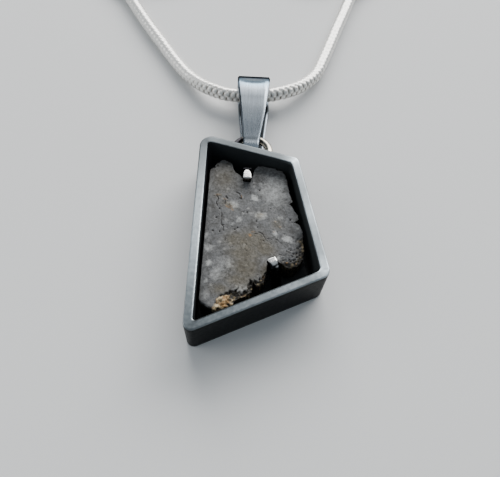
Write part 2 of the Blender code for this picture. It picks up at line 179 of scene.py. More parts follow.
def whole_route(strand, coil):
    """Strand, then a flat spiral whose radius falls by a pitch each turn, then the tail in its hollow."""
    centre, start, way = coil
    turned = np.arange(0, 360 * COIL_TURNS + 1, COIL_STEP)
    radius = COIL_OUTER - COIL_PITCH * turned / 360
    inward = np.arange(INWARD_STEP, INWARD_TURN + 1, INWARD_STEP)
    ease = inward / INWARD_TURN
    ease = ease * ease * (3 - 2 * ease)
    turned = np.concatenate([turned, 360 * COIL_TURNS + inward])
    radius = np.concatenate([radius, radius[-1] + (INWARD_RADIUS - radius[-1]) * ease])
    spiral = centre + radius[:, None] * directions(np.radians(start + way * turned))
    flat = np.vstack([spiral, [in_hollow(coil, place) for place in TAIL_ROUTE]])
    return np.vstack([strand, raised(flat, LYING)]) * MM


def path_axes(points, closed=False):
    """Unit vectors along, across and up a path; up stays as near to +Z as the path allows."""
    if closed:
        along = unit(np.roll(points, -1, axis=0) - np.roll(points, 1, axis=0))
    else:
        along = unit(np.gradient(points, axis=0))
    across = unit(np.cross(along, (0.0, 0.0, 1.0)))
    return along, across, np.cross(across, along)


def new_piece(name, rings, material, body, marks=None, ends=None, turned=False):
    """A smooth closed skin over rings of points, riding on a body. Quads join each ring to the next. Two end
    points close the first and the last ring with triangles; without them the last ring joins the first.
    A mark has a value for each point, the two end points last. Turned rings run the other way round."""
    count, around = rings.shape[:2]
    points = rings.reshape(-1, 3)
    joined = count if ends is None else count - 1
    r, c = (a.ravel() for a in np.meshgrid(np.arange(joined), np.arange(around), indexing="ij"))
    below, above, c_next = r * around, (r + 1) % count * around, (c + 1) % around
    groups = [np.stack([below + c, above + c, above + c_next, below + c_next], axis=1)]
    if ends is not None:
        ring, after, middle = np.arange(around), np.roll(np.arange(around), -1), np.full(around, len(points))
        last = (count - 1) * around
        groups.append(np.stack([ring, after, middle], axis=1))
        groups.append(np.stack([after + last, ring + last, middle + 1], axis=1))
        points = np.vstack([points, ends])
    groups = [group[:, ::-1] if turned else group for group in groups]
    flat = np.concatenate([group.ravel() for group in groups])
    sizes = np.concatenate([np.full(len(group), group.shape[1]) for group in groups])
    starts = np.cumsum(sizes) - sizes
    mesh = bpy.data.meshes.new(name)
    mesh.vertices.add(len(points))
    mesh.vertices.foreach_set("co", points.astype(np.float32).ravel())
    mesh.loops.add(len(flat))
    mesh.loops.foreach_set("vertex_index", flat.astype(np.int32))
    mesh.polygons.add(len(sizes))
    mesh.polygons.foreach_set("loop_start", starts.astype(np.int32))
    mesh.polygons.foreach_set("loop_total", sizes.astype(np.int32))
    mesh.update(calc_edges=True)
    mesh.validate()
    mesh.polygons.foreach_set("use_smooth", np.ones(len(mesh.polygons), bool))
    for mark, values in (marks or {}).items():
        data = mesh.attributes.new(mark, "FLOAT", "POINT").data
        data.foreach_set("value", values.astype(np.float32).ravel())
    mesh.materials.append(material)
    made = bpy.data.objects.new(name, mesh)
    bpy.context.scene.collection.objects.link(made)
    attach(made, body)
    return made


class Finish:
    """A material in the making. Its methods add shader nodes and give the socket that the result comes from;
    what goes in is a number, a colour or such a socket. The last method gives the material itself."""

    def __init__(self, name):
        self.material = bpy.data.materials.new(name)
        self.material.use_nodes = True
        self.tree = self.material.node_tree
        self.shader = self.tree.nodes["Principled BSDF"]

    def feed(self, sockets, values):
        for key, value in values.items():
            if isinstance(value, bpy.types.NodeSocket):
                self.tree.links.new(value, sockets[key])
            elif sockets[key].type == "RGBA":
                sockets[key].default_value = (*value, 1)
            else:
                sockets[key].default_value = value

    def node(self, kind, inputs, output, **settings):
        made = self.tree.nodes.new("ShaderNode" + kind)
        for name, value in settings.items():
            setattr(made, name, value)
        self.feed(made.inputs, inputs)
        return made.outputs[output]

    def mark(self, name):
        """A value marked on the mesh."""
        return self.node("Attribute", {}, "Fac", attribute_name=name)

    def places(self, stretch=(1, 1, 1), offset=0.0):
        """Object coordinates in metres, stretched and moved."""
        source = self.node("TexCoord", {}, "Object")
        return self.node("Mapping", {"Vector": source, "Location": (offset,) * 3, "Scale": stretch}, "Vector")

    def noise(self, scale, detail, roughness=0.5, offset=0.0, stretch=(1, 1, 1)):
        places = self.places(stretch, offset)
        inputs = {"Vector": places, "Scale": scale, "Detail": detail, "Roughness": roughness}
        return self.node("TexNoise", inputs, "Fac")

    def calculated(self, operation, first, second):
        return self.node("Math", {0: first, 1: second}, 0, operation=operation)

    def moved(self, value, low, high, new_low=0.0, new_high=1.0):
        """The value moved from one range to another and held there."""
        inputs = {"Value": value, "From Min": low, "From Max": high, "To Min": new_low, "To Max": new_high}
        return self.node("MapRange", inputs, "Result")

    def mixed(self, share, first, second, blend="MIX"):
        """Colour between two by a share."""
        return self.node("Mix", {0: share, 6: first, 7: second}, 2, data_type="RGBA", blend_type=blend)

    def done(self, colour, roughness, metallic=0.0, others=None, relief=None, strength=0.0, depth=0.02 * MM):
        """The material, with the main shader's sockets fed and its relief taken from a pattern."""
        inputs = {"Base Color": colour, "Roughness": roughness, "Metallic": metallic} | (others or {})
        if relief:
            heights = {"Height": relief, "Strength": strength, "Distance": depth}
            inputs["Normal"] = self.node("Bump", heights, "Normal")
        self.feed(self.shader.inputs, inputs)
        return self.material


def chain_silver():
    """Polished silver with smoky patches; painted shade makes it darker and browner deep between the scales.
    """
    finish = Finish("chain_silver")
    smoke = finish.moved(finish.noise(2600.0, 3.0), 0.3, 0.75, 0.0, 0.35)
    # Painted shade, dark and brown, in the grooves between the scales, plus smoky patches.
    groove_shade_and_smoke = finish.calculated("ADD", finish.moved(finish.mark("recess"), 0.18, 0.66), smoke)
    colour = finish.mixed(finish.moved(groove_shade_and_smoke, 0.0, 1.3), (0.97, 0.955, 0.92), (0.10, 0.072, 0.042))
    return finish.done(colour, finish.moved(groove_shade_and_smoke, 0.0, 1.0, 0.26, 0.55), 0.5)


def scale_height(run, around):
    """Height of the chain's scales from 0 in a groove to 1 on a crown. run counts scales along the chain and
    around counts rows. Two staggered sets of rounded humps lie on alternate rows; the higher hump counts."""
    heights = []
    for shift in (0.0, 0.5):
        row = (around / 2 + shift + 0.5) % 1.0 - 0.5
        step = (run + shift + 0.5) % 1.0 - 0.5
        heights.append(1.0 - (step / HUMP_LENGTH) ** 2 - (2 * row / HUMP_WIDTH) ** 2)
    return np.clip(np.maximum(*heights), 0.0, 1.0) ** HUMP_FULLNESS


def make_chain(name, route, material):
    """Ring centres on the route; each ring is a circle whose radius follows the height of the scales. On the
    outside of a bend the scales gape: the grooves are deeper there by the bend's curvature."""
    rough, total = smooth_path(route, SCALE_PITCH / RINGS_PER_SCALE)
    along, across, upward = path_axes(rough)
    reach = BEND_REACH * RINGS_PER_SCALE
    rings = np.arange(len(rough))
    before, after = (along[np.clip(rings + step, 0, len(rough) - 1)] for step in (-reach, reach))
    bend = (after - before) / (2 * reach * SCALE_PITCH / RINGS_PER_SCALE)
    run = np.linspace(0, total / SCALE_PITCH, len(rough))[:, None]
    around = np.arange(SAMPLES_AROUND)[None, :] * SCALE_ROWS / SAMPLES_AROUND
    outward = circle(SAMPLES_AROUND) @ np.stack([across, upward], axis=1)
    gaping = np.clip(-np.einsum("ik,ijk->ij", bend, outward) * GAPING_BEND, 0, 1)
    hollow = (1 - scale_height(run, around)) * (SCALE_DEPTH + GAPING_DEPTH * gaping)
    points = rough[:, None, :] + outward * (CHAIN_THICKNESS / 2 * (1 - hollow))[:, :, None]
    marks = {"recess": np.append(hollow / (SCALE_DEPTH + GAPING_DEPTH), (1.0, 1.0))}
    made = new_piece(name, points, material, "chain", marks, rough[[0, -1]])
    return made, rough[::RINGS_PER_SCALE], total


chain_finish = chain_silver()
left_chain, left_centres, left_length = make_chain(
    "snake_chain_left", whole_route(LEFT_ROUTE, LEFT_COIL), chain_finish)
right_chain, right_centres, right_length = make_chain(
    "snake_chain_right", whole_route(RIGHT_ROUTE, RIGHT_COIL), chain_finish)
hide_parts("chain_left", "coil_left", "chain_tail_left")
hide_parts("chain_right", "coil_right", "chain_tail_right")


# Fittings at the chain's two ends: drawn silver cups soldered over the chain, each
# with an eye, a lobster clasp on a link on the left one, a tag ring on the other.
CAP_ENDS = ((3.70, -2.55), (3.70, 0.25))
CAP_AXIS_Z = 1.255
# Place along the cap's axis, and radius there.
CAP_PROFILE = np.array([
    (0.0, 0.98), (0.0, 1.16), (0.05, 1.23), (0.14, 1.25), (0.24, 1.22), (0.30, 1.14), (0.40, 1.12),
    (1.2, 1.12), (2.0, 1.12), (2.25, 1.10), (2.45, 1.02), (2.62, 0.86), (2.72, 0.62), (2.78, 0.34)])
CAP_END_AHEAD = 0.02
EYE_AHEAD = 0.52
EYE_LOWER = (0, 0, 0.2)
EYE_RADIUS = 0.5
EYE_WIRE = 0.32
LINK_PLACE = (3.30, 1.87)
LINK_RADIUS = 1.0
TAG_PLACE = (3.10, 2.54)
TAG_RADIUS = 1.65
LINK_WIRE = 0.6
CLASP_EYE = (0.70, 3.00)
CLASP_NOSE = (-2.17, -2.39)
CLASP_EYE_RADIUS = 1.1
CLASP_NOSE_RADIUS = 1.8
CLASP_BAR = 0.7
CLASP_HEIGHT = 1.7
CLASP_SQUARE = 0.7
CLASP_SPACING = 0.12
CLASP_STEPS = (40, 24)
CLASP_AROUND = 24
CAP_LIGHT = (0.88, 0.87, 0.84)
CAP_DARK = (0.484, 0.4785, 0.462)


def scratched_silver(name, light, dark, scratch, painted_shade=None):
    """Silver with fine scratches and a slow change of tone, and painted shade where the mesh is marked for
    it.
    """
    finish = Finish(name)
    fine = finish.noise(3500.0, 4.0)
    colour = finish.mixed(finish.moved(finish.noise(420.0, 2.0), 0.35, 0.75), light, dark)
    if painted_shade:
        colour = finish.mixed(finish.mark("loop_shade"), colour, painted_shade)
    return finish.done(colour, finish.moved(fine, 0.3, 0.7, 0.16, 0.34), 1.0, relief=fine, strength=scratch)


def swept(points, section, closed=False):
    """Sections carried along a path: each of their points is so far across the path and so far up from it."""
    _, across, upward = path_axes(points, closed)
    aside, above = section[..., 0:1], section[..., 1:2]
    return points[:, None, :] + across[:, None, :] * aside + upward[:, None, :] * above


def wire_ring(name, centre, radius, wire, material, stand=None, steps=48, steps_round_wire=16):
    """A closed ring of round wire, flat, or standing upright along the direction stand."""
    turn, tube = circle(steps), circle(steps_round_wire)
    reach = radius + wire / 2 * tube[:, 0]
    x, y = (reach * turn[:, k, None] for k in range(2))
    z = np.broadcast_to(wire / 2 * tube[:, 1], x.shape)
    places = [x, y, z]
    if stand is not None:
        places = [x * stand[0] + z * stand[1], x * stand[1] - z * stand[0], y]
    return new_piece(name, (np.stack(places, axis=2) + centre) * MM, material, "chain")


def make_cap(name, coil, material, around=40):
    """A turned shape: radius as a function of the place along the cap's axis, closed at both ends."""
    start, end = (raised(in_hollow(coil, place), CAP_AXIS_Z) for place in CAP_ENDS)
    direction = unit(end - start)
    centres = start + direction * CAP_PROFILE[:, :1]
    ring = circle(around) @ np.array([(direction[1], -direction[0], 0.0), (0.0, 0.0, 1.0)])
    rings = centres[:, None, :] + CAP_PROFILE[:, 1, None, None] * ring
    ends = centres[[0, -1]] + direction * CAP_END_AHEAD
    made = new_piece(name, rings * MM, material, "chain", ends=ends * MM)
    return made, end, direction


def cap_eye(name, end, direction, material):
    """A small upright ring on the end of a cap."""
    centre = end + direction * EYE_AHEAD - EYE_LOWER
    return wire_ring(name, centre, EYE_RADIUS, EYE_WIRE, material, direction)


cap_finish = scratched_silver("cap_silver", CAP_LIGHT, CAP_DARK, 0.15)
left_cap, left_end, left_way = make_cap("left_end_cap", LEFT_COIL, cap_finish)
right_cap, right_end, right_way = make_cap("right_end_cap", RIGHT_COIL, cap_finish)
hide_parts("end_cap_left")
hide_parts("end_cap_right")
left_eye = cap_eye("left_cap_eye", left_end, left_way, cap_finish)
right_eye = cap_eye("right_cap_eye", right_end, right_way, cap_finish)
link_centre = raised(in_hollow(LEFT_COIL, LINK_PLACE), LYING)
tag_centre = raised(in_hollow(RIGHT_COIL, TAG_PLACE), LYING)
link = wire_ring("clasp_ring", link_centre, LINK_RADIUS, LINK_WIRE, cap_finish)
tag = wire_ring("end_ring", tag_centre, TAG_RADIUS, LINK_WIRE, cap_finish)
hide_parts("clasp_link")
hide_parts("tag_ring")


def belt_arcs(big_centre, big, small_centre, small, counts):
    """The two arcs of a belt laid round a big and a small circle, as directions from the circles' centres."""
    lean = math.atan2(*(big_centre - small_centre)[::-1])
    spread = math.acos((big - small) / np.linalg.norm(big_centre - small_centre))
    around_big = np.linspace(lean - spread, lean + spread, counts[0])
    around_small = np.linspace(lean + spread, lean - spread + 2 * math.pi, counts[1])
    return directions(around_big), directions(around_small)


def squared(round_ways, power):
    """Directions pushed out towards the corners of a square, the more the smaller the power."""
    return np.sign(round_ways) * np.abs(round_ways) ** power


def make_clasp(coil, material):
    """The clasp's drop-shaped body: a rounded bar carried round the outline of two unlike circles."""
    eye, nose = in_hollow(coil, CLASP_EYE), in_hollow(coil, CLASP_NOSE)
    small, big = CLASP_EYE_RADIUS - CLASP_BAR / 2, CLASP_NOSE_RADIUS - CLASP_BAR / 2
    around_nose, around_eye = belt_arcs(nose, big, eye, small, CLASP_STEPS)
    path = raised(np.vstack([nose + big * around_nose, eye + small * around_eye]), CLASP_HEIGHT / 2)
    path, _ = smooth_path(np.vstack([path, path[:1]]), CLASP_SPACING)
    section = squared(circle(CLASP_AROUND), CLASP_SQUARE) * (CLASP_BAR / 2, CLASP_HEIGHT / 2)
    rings = swept(path[:-1], section[None], closed=True)
    return new_piece("lobster_clasp", rings * MM, material, "chain")


clasp = make_clasp(LEFT_COIL, cap_finish)
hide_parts("clasp")


# Bail. One tapered strip of silver sheet, 0.72 mm thick, folded over the chain and
# closed round the hanging loop; brushed lengthwise, its edges filed to a bevel.
BAIL_X = -1.13
# Seen from the side: where the arc of the fold or of the foot has its centre, and its radius.
BAIL_FOLD = (17.9, 2.1, 2.1)
BAIL_FOOT = (7.65, 1.8, 1.8)
BAIL_FOOT_SQUARE = 0.65
BAIL_STRIP = 0.72
BAIL_HALF_WIDTHS = (
    (5.0, 0.98), (8.2, 1.27), (11.0, 1.54), (14.0, 1.86), (16.4, 2.12), (18.4, 2.33), (20.4, 2.4),
)
BACK_LEAF_WIDER = 0.22
BACK_LEAF_SHIFT = 0.13
FRONT_LEAF_NARROWER = 0.26
BAIL_EDGE = 0.14
BAIL_BEVEL = 0.16
BAIL_BEVEL_SLOPE = 0.55
INNER_EDGE_SIZE = (0.6, 0.4)
OUTER_FACE_INSET = 0.18
INNER_FACE_INSET = 0.12
BAIL_BULGE = 0.18
BAIL_DIP = 0.45
BAIL_STEPS = 60
STEPS_ACROSS_BAIL = 25
QUARTER_TURN = np.linspace(0, math.pi / 2, 6)
# Where along y, or how high above the floor, each change begins and where it is complete.
BACK_LEAF_Z = (1.9, 0.7)
BACK_LEAF_Y = (18.2, 15.7)
BACK_LEAF_FOOT_Y = (6.5, 8.5)
FRONT_LEAF_Z = (2.2, 2.8)
FRONT_LEAF_Y = (12.5, 8.0)
DIP_Y = (16.0, 17.5)
RIGHT_HIGHLIGHT_END_Y = (18.0, 17.4)
BLUE_REFLECTION_Y = (16.6, 17.6)
BLUE_REFLECTION_END_Y = (18.6, 18.2)
# Tone of the satin along the bail's front, foot to fold, holding painted light and shade: painted light where
# the foot turns under, a painted highlight below the fold and a painted dark reflection over it; and where
# the painted highlight along the right edge begins across the strip, from -1 to 1.
BAIL_TONE = (
    (5.0, 0.5), (6.6, 0.5), (7.1, 0.27), (7.5, 0.115), (7.9, 0.105), (8.3, 0.205), (9.0, 0.225),
    (11.0, 0.215), (13.0, 0.125), (15.0, 0.078), (16.3, 0.15), (17.0, 0.25), (17.7, 0.35), (17.9, 0.08),
    (18.2, 0.04), (19.2, 0.05), (19.7, 0.12), (20.4, 0.16),
)
BAIL_RIGHT_HIGHLIGHT = ((12.0, 0.93), (15.0, 0.88), (16.2, 0.84), (17.0, 0.76))
BAIL_RIGHT_HIGHLIGHT_BLEND = 0.06
BAIL_RIGHT_HIGHLIGHT_TONE = 0.42
# Fixed tones of the strip's edges; the left bevel is painted darker and the inside of the fold near black, as
# painted shade.
FRONT_EDGE_TONE = 0.55
BACK_EDGE_TONE = 0.22
INSIDE_TONE = 0.03
LEFT_BEVEL_DARKER = 0.85
# Share of the strip's thickness at which the bevel ends, and at which the inside begins.
BEVEL_ENDS = 0.35
INSIDE_BEGINS = 0.6
LEAVES_MEET_Z = 2.0


def ramp(value, start, end):
    """0 up to the start, 1 past the end and straight between them; the end may be the lower number."""
    return np.clip((value - start) / (end - start), 0, 1)


def bail_side(inset):
    """Side view of the closed strip: two arcs of unlike size joined by straight leaves, moved in by inset."""
    fold, foot = np.array(BAIL_FOLD[:2]), np.array(BAIL_FOOT[:2])
    big, small = BAIL_FOLD[2] - inset, BAIL_FOOT[2] - inset
    around_fold, around_foot = belt_arcs(fold, big, foot, small, (BAIL_STEPS, BAIL_STEPS))
    top = fold + big * around_fold
    bottom = foot + small * squared(around_foot, BAIL_FOOT_SQUARE)
    share = np.linspace(0, 1, BAIL_STEPS + 1)[1:-1, None]
    bulge = BAIL_BULGE * 16 * share ** 2 * (1 - share) ** 2
    front = top[-1] + (bottom[0] - top[-1]) * share + bulge * (0.0, 1.0)
    back = bottom[-1] + (top[0] - bottom[-1]) * share
    return np.vstack([top, front, bottom, back])


def make_bail(material):
    """A rounded flat section carried round the side view. Across the strip the points run over the outer
    face, round the edge, back along the inner face and round the other edge."""
    outer, inner = bail_side(0.0), bail_side(BAIL_STRIP)
    along, height = outer.T
    back_leaf = ramp(height, *BACK_LEAF_Z) * ramp(along, *BACK_LEAF_Y) * ramp(along, *BACK_LEAF_FOOT_Y)
    narrower = FRONT_LEAF_NARROWER / 2 * ramp(height, *FRONT_LEAF_Z) * ramp(along, *FRONT_LEAF_Y)
    half = np.interp(along, *zip(*BAIL_HALF_WIDTHS)) + BACK_LEAF_WIDER * back_leaf - narrower
    middle = BAIL_X + BACK_LEAF_SHIFT * back_leaf - narrower
    inset = np.append(BAIL_BEVEL, BAIL_EDGE * (1 - np.sin(QUARTER_TURN)))
    depth = np.append(0.0, BAIL_BEVEL * BAIL_BEVEL_SLOPE + BAIL_EDGE * (1 - np.cos(QUARTER_TURN)))
    narrow, shallow = INNER_EDGE_SIZE
    edge = [*zip(inset, depth), *zip(narrow * inset[:0:-1], BAIL_STRIP - shallow * depth[:0:-1])]
    flat = np.linspace(-1, 1, STEPS_ACROSS_BAIL)
    section = [(f, OUTER_FACE_INSET, 0.0) for f in flat] + [(1.0, *point) for point in edge]
    section += [(-f, INNER_FACE_INSET, BAIL_STRIP) for f in flat] + [(-1.0, *point) for point in edge[::-1]]
    share, inset, depth = np.array(section).T
    x = middle[:, None] + (half[:, None] - inset) * share
    place = outer[:, None, :] + (inner - outer)[:, None, :] * (depth / BAIL_STRIP)[:, None]
    y, z = place[..., 0], place[..., 1]
    # The tone holds painted light and shade; its painted highlight and dark reflection at the fold dip lower
    # in the middle of the strip.
    dipped = y + BAIL_DIP * (1 - share ** 2) * ramp(y, *DIP_Y)
    tone = np.interp(dipped, *zip(*BAIL_TONE))
    # A painted highlight along the right edge of the front leaf.
    right_highlight_from = np.interp(y, *zip(*BAIL_RIGHT_HIGHLIGHT))
    right_highlight = ramp(share, right_highlight_from, right_highlight_from + BAIL_RIGHT_HIGHLIGHT_BLEND) * ramp(y, *RIGHT_HIGHLIGHT_END_Y)
    tone = tone + (np.maximum(tone, BAIL_RIGHT_HIGHLIGHT_TONE) - tone) * right_highlight
    # Painted shade on the left bevel, fixed tones on the edges, and painted shade inside the fold.
    left_edge = np.where(depth < BEVEL_ENDS * BAIL_STRIP, LEFT_BEVEL_DARKER * tone, FRONT_EDGE_TONE)
    tone = np.where(share <= -1, left_edge, tone)
    on_edge = np.abs(share) >= 1
    tone = np.where(on_edge & (z < LEAVES_MEET_Z), BACK_EDGE_TONE, tone)
    tone = np.where((depth > INSIDE_BEGINS * BAIL_STRIP) & ~on_edge, INSIDE_TONE, tone)
    # A bluer painted reflection over the fold.
    marks = {"tone": tone, "blue_reflection": ramp(dipped, *BLUE_REFLECTION_Y) * ramp(dipped, *BLUE_REFLECTION_END_Y)}
    rings = np.stack([x, y, z], axis=2) * MM
    return new_piece("folded_bail", rings, material, "chain", marks)


def varied(finish, value, patterns):
    """The value times a share that follows each noise pattern between two limits."""
    for pattern, low, high in patterns:
        value = finish.calculated("MULTIPLY", value, finish.moved(pattern, 0.3, 0.7, low, high))
    return value


def satin_silver():
    """Silver toned as the mesh is marked, with painted light, shade and reflections; fine lines along the
    strip vary its tone, gloss and relief.
    """
    finish = Finish("bail_satin")
    lines = finish.noise(1.0, 6.0, 0.65, stretch=(9000, 350, 350))
    tone = varied(finish, finish.mark("tone"), ((lines, 1.16, 0.86), (finish.noise(300.0, 3.0), 1.10, 0.90)))
    silver = finish.mixed(finish.mark("blue_reflection"), (0.90, 1.02, 1.15), (0.74, 1.02, 1.28))
    colour = finish.mixed(tone, (0.0, 0.0, 0.0), silver)
    gloss = finish.moved(lines, 0.3, 0.7, 0.22, 0.30)
    return finish.done(colour, gloss, 1.0, {"Specular Tint": (0.17, 0.19, 0.22)}, lines, 0.12)


bail = make_bail(satin_silver())
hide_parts("bail")


# Hanging loop. Round silver wire, 1 mm, bent to half a ring, its two legs soldered
# to the top wall of the frame with small fillets.
BAND_CORNERS = np.array([(-7.88, 6.29), (4.74, 2.97), (8.17, -13.14), (-8.05, -20.66)])
LOOP_CENTRE = np.array((-1.11, 6.74))
LOOP_RADIUS = 2.45
LOOP_WIRE = 1.0
LOOP_FAR_Z = 1.85
LOOP_DIP = math.radians(5.8)
LEG_IN_WALL = 0.05
LEG_STEPS = 24
LOOP_STEPS = 61
LOOP_AROUND = 28
FILLET_WIDTH = 0.32
FILLET_LENGTH = 0.55
# The left part of the loop, past these x, is painted dark: painted shade.
LOOP_SHADE_X = (-2.2, -2.6)
LOOP_LIGHT = (0.60, 0.56, 0.48)
LOOP_DARK = (0.30, 0.27, 0.22)
LOOP_SHADE_COLOUR = (0.018, 0.017, 0.020)


def make_loop(material):
    """Circles along half a ring with straight legs; they widen where a leg meets the wall."""
    along = unit(BAND_CORNERS[1] - BAND_CORNERS[0])
    out = left_of(along)
    leg = (LOOP_CENTRE - BAND_CORNERS[0]) @ out + LEG_IN_WALL
    arc = LOOP_RADIUS * directions(np.linspace(0, math.pi, LOOP_STEPS))
    down = np.linspace(-leg, 0, LEG_STEPS + 1)[:-1]
    straight = np.full(LEG_STEPS, LOOP_RADIUS)
    across = np.concatenate([straight, arc[:, 0], -straight])
    ahead = np.concatenate([down, arc[:, 1], down[::-1]])
    flat = LOOP_CENTRE + along * across[:, None] + out * ahead[:, None]
    path = raised(flat, LOOP_FAR_Z + math.tan(LOOP_DIP) * (LOOP_RADIUS - ahead))
    radius = LOOP_WIRE / 2 + FILLET_WIDTH * ramp(ahead + leg, FILLET_LENGTH, 0) ** 2
    rings = swept(path, circle(LOOP_AROUND) * radius[:, None, None])
    ends = path[[0, -1]]
    # Painted shade on the left part of the loop.
    marks = {"loop_shade": ramp(np.append(rings[..., 0], ends[:, 0]), *LOOP_SHADE_X)}
    return new_piece("wire_loop", rings * MM, material, "pendant", marks, ends * MM)


loop = make_loop(scratched_silver("loop_silver", LOOP_LIGHT, LOOP_DARK, 0.2, LOOP_SHADE_COLOUR))
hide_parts("hanging_loop")


# Frame. A strip of 1 mm silver sheet bent and soldered to a deep four-sided band;
# the walls are blackened, and the rim is rubbed back to satin silver.
BAND_RADII = (1.5, 0.9, 1.2, 0.9)
BAND_INNER_RADII = (0.4, 0.4, 0.7, 0.25)
BAND_WALL = 1.0
BAND_HEIGHT = 6.2
RIM_SOFT_EDGE = 0.16
RIM_SHARP_EDGE = 0.10
OUTER_FOOT_Z = 0.12
INNER_FOOT_Z = 0.1
WALL_STEPS = 12
RIM_STEPS = 8
# Section of the wall's lower edge, from the inside out.
BAND_FOOT = [(0.92, 0.0), (0.5, 0.0), (0.1, 0.0), (0.03, 0.04)]
RUBBED_Z = (BAND_HEIGHT - 0.16, BAND_HEIGHT - 0.04)
# Tone of the rim along its four sides, where it was rubbed more or less, with painted light and shade over it
# and painted highlights at the right-hand corners: 0 is the top left corner, 1 the top right, 2 the lower
# right, 3 the lower left.
RIM_TONE = (
    (0.0, 0.065), (0.06, 0.09), (0.12, 0.13), (0.17, 0.12), (0.38, 0.09), (0.6, 0.12), (0.84, 0.13),
    (0.92, 0.25), (0.97, 0.5), (1.0, 0.72), (1.04, 0.42), (1.08, 0.34), (1.15, 0.27), (1.27, 0.26),
    (1.39, 0.33), (1.5, 0.45), (1.61, 0.35), (1.84, 0.38), (1.93, 0.75), (2.0, 0.8), (2.06, 0.48),
    (2.15, 0.3), (2.27, 0.43), (2.4, 0.33), (2.5, 0.34), (2.62, 0.28), (2.84, 0.27), (2.94, 0.19),
    (3.0, 0.19), (3.06, 0.28), (3.15, 0.33), (3.27, 0.43), (3.38, 0.54), (3.5, 0.52), (3.62, 0.42),
    (3.73, 0.29), (3.84, 0.17), (3.93, 0.1), (4.0, 0.065),
)
RIM_UNEVEN = 0.02
# Tone of the walls' black tarnish; the outer walls are far darker than the inner ones, as painted shade.
OUTER_TONE = 0.005
INNER_TONE = 0.05
# A painted highlight on the inner edge along the lower part of the left side.
INNER_EDGE_HIGHLIGHT = (3.0, 3.1, 3.45, 3.75)
INNER_EDGE_HIGHLIGHT_SHARE = (0.86, 0.92)
INNER_EDGE_HIGHLIGHT_TONE = 0.6
# Painted shade on the inner edge along the foot.
SHADED_INNER_EDGE = (2.02, 2.08, 2.93, 2.97)
SHADED_INNER_EDGE_SHARE = (0.86, 0.90)
INNER_EDGE_SHADE_BY = 0.9
ARC_STEPS = 13
SIDE_STEPS = 40


def outline_way(points, corners):
    """For each point of an outline, the number of its side plus its share of the way along that side."""
    after = np.roll(corners, -1, axis=0) - corners
    long = np.linalg.norm(after, axis=1)
    along = after / long[:, None]
    off = points[:, None, :] - corners
    share = (off * along).sum(axis=2) / long
    apart = np.abs(off[..., 0] * along[:, 1] - off[..., 1] * along[:, 0])
    side = np.argmin(np.where((share < 0) | (share > 1), np.inf, apart), axis=1)
    return side + share[np.arange(len(points)), side]


def rounded_outline(corners, radii):
    """The closed outline through these corners: an arc at each corner, then points along the next side."""
    arcs = []
    for corner, before, after, radius in zip(corners, np.roll(corners, 1, 0), np.roll(corners, -1, 0), radii):
        back, onward = unit(before - corner), unit(after - corner)
        half = math.acos(back @ onward) / 2
        middle = unit(back + onward) * radius / math.sin(half)
        start, end = (way * radius / math.tan(half) - middle for way in (back, onward))
        first = math.atan2(start[1], start[0])
        sweep = (math.atan2(end[1], end[0]) - first + math.pi) % (2 * math.pi) - math.pi
        arcs.append(corner + middle + radius * directions(first + sweep * np.linspace(0, 1, ARC_STEPS)))
    share = np.linspace(0, 1, SIDE_STEPS + 1)[1:-1, None]
    points = []
    for arc, following in zip(arcs, arcs[1:] + arcs[:1]):
        points += [arc, arc[-1] + (following[0] - arc[-1]) * share]
    return np.vstack(points)


def sides_of(corners):
    """Each side of a convex outline: where it begins, the way along it and the way inward."""
    middle = corners.mean(axis=0)
    for start, end in zip(corners, np.roll(corners, -1, axis=0)):
        along = unit(end - start)
        inward = left_of(along)
        yield start, along, inward * np.sign(inward @ (middle - start))


def inset_corners(corners, inset):
    """The corners of the same outline moved in by this much on every side."""
    sides = [(start + inward * inset, along) for start, along, inward in sides_of(corners)]
    moved = []
    for (p, a), (q, b) in zip(sides[-1:] + sides[:-1], sides):
        moved.append(p + a * np.linalg.solve(np.array([a, -b]).T, q - p)[0])
    return np.array(moved)


def frame_silver():
    """Silver whose tone is marked on the mesh, painted light and shade included: satin where it is rubbed,
    elsewhere under a black tarnish that is only partly metallic."""
    finish = Finish("frame_silver")
    lines = finish.noise(2600.0, 5.0)
    tone = varied(finish, finish.mark("tone"), ((lines, 0.93, 1.07), (finish.noise(400.0, 3.0), 0.95, 1.05)))
    colour = finish.mixed(tone, (0.0, 0.0, 0.0), (0.90, 1.00, 1.06))
    metallic = finish.moved(finish.mark("rubbed"), 0.0, 1.0, 0.2, 1.0)
    sheen = {"Specular IOR Level": 0.05, "Specular Tint": (0.18, 0.20, 0.23)}
    return finish.done(colour, finish.moved(lines, 0.3, 0.7, 0.30, 0.42), metallic, sheen, lines, 0.2)


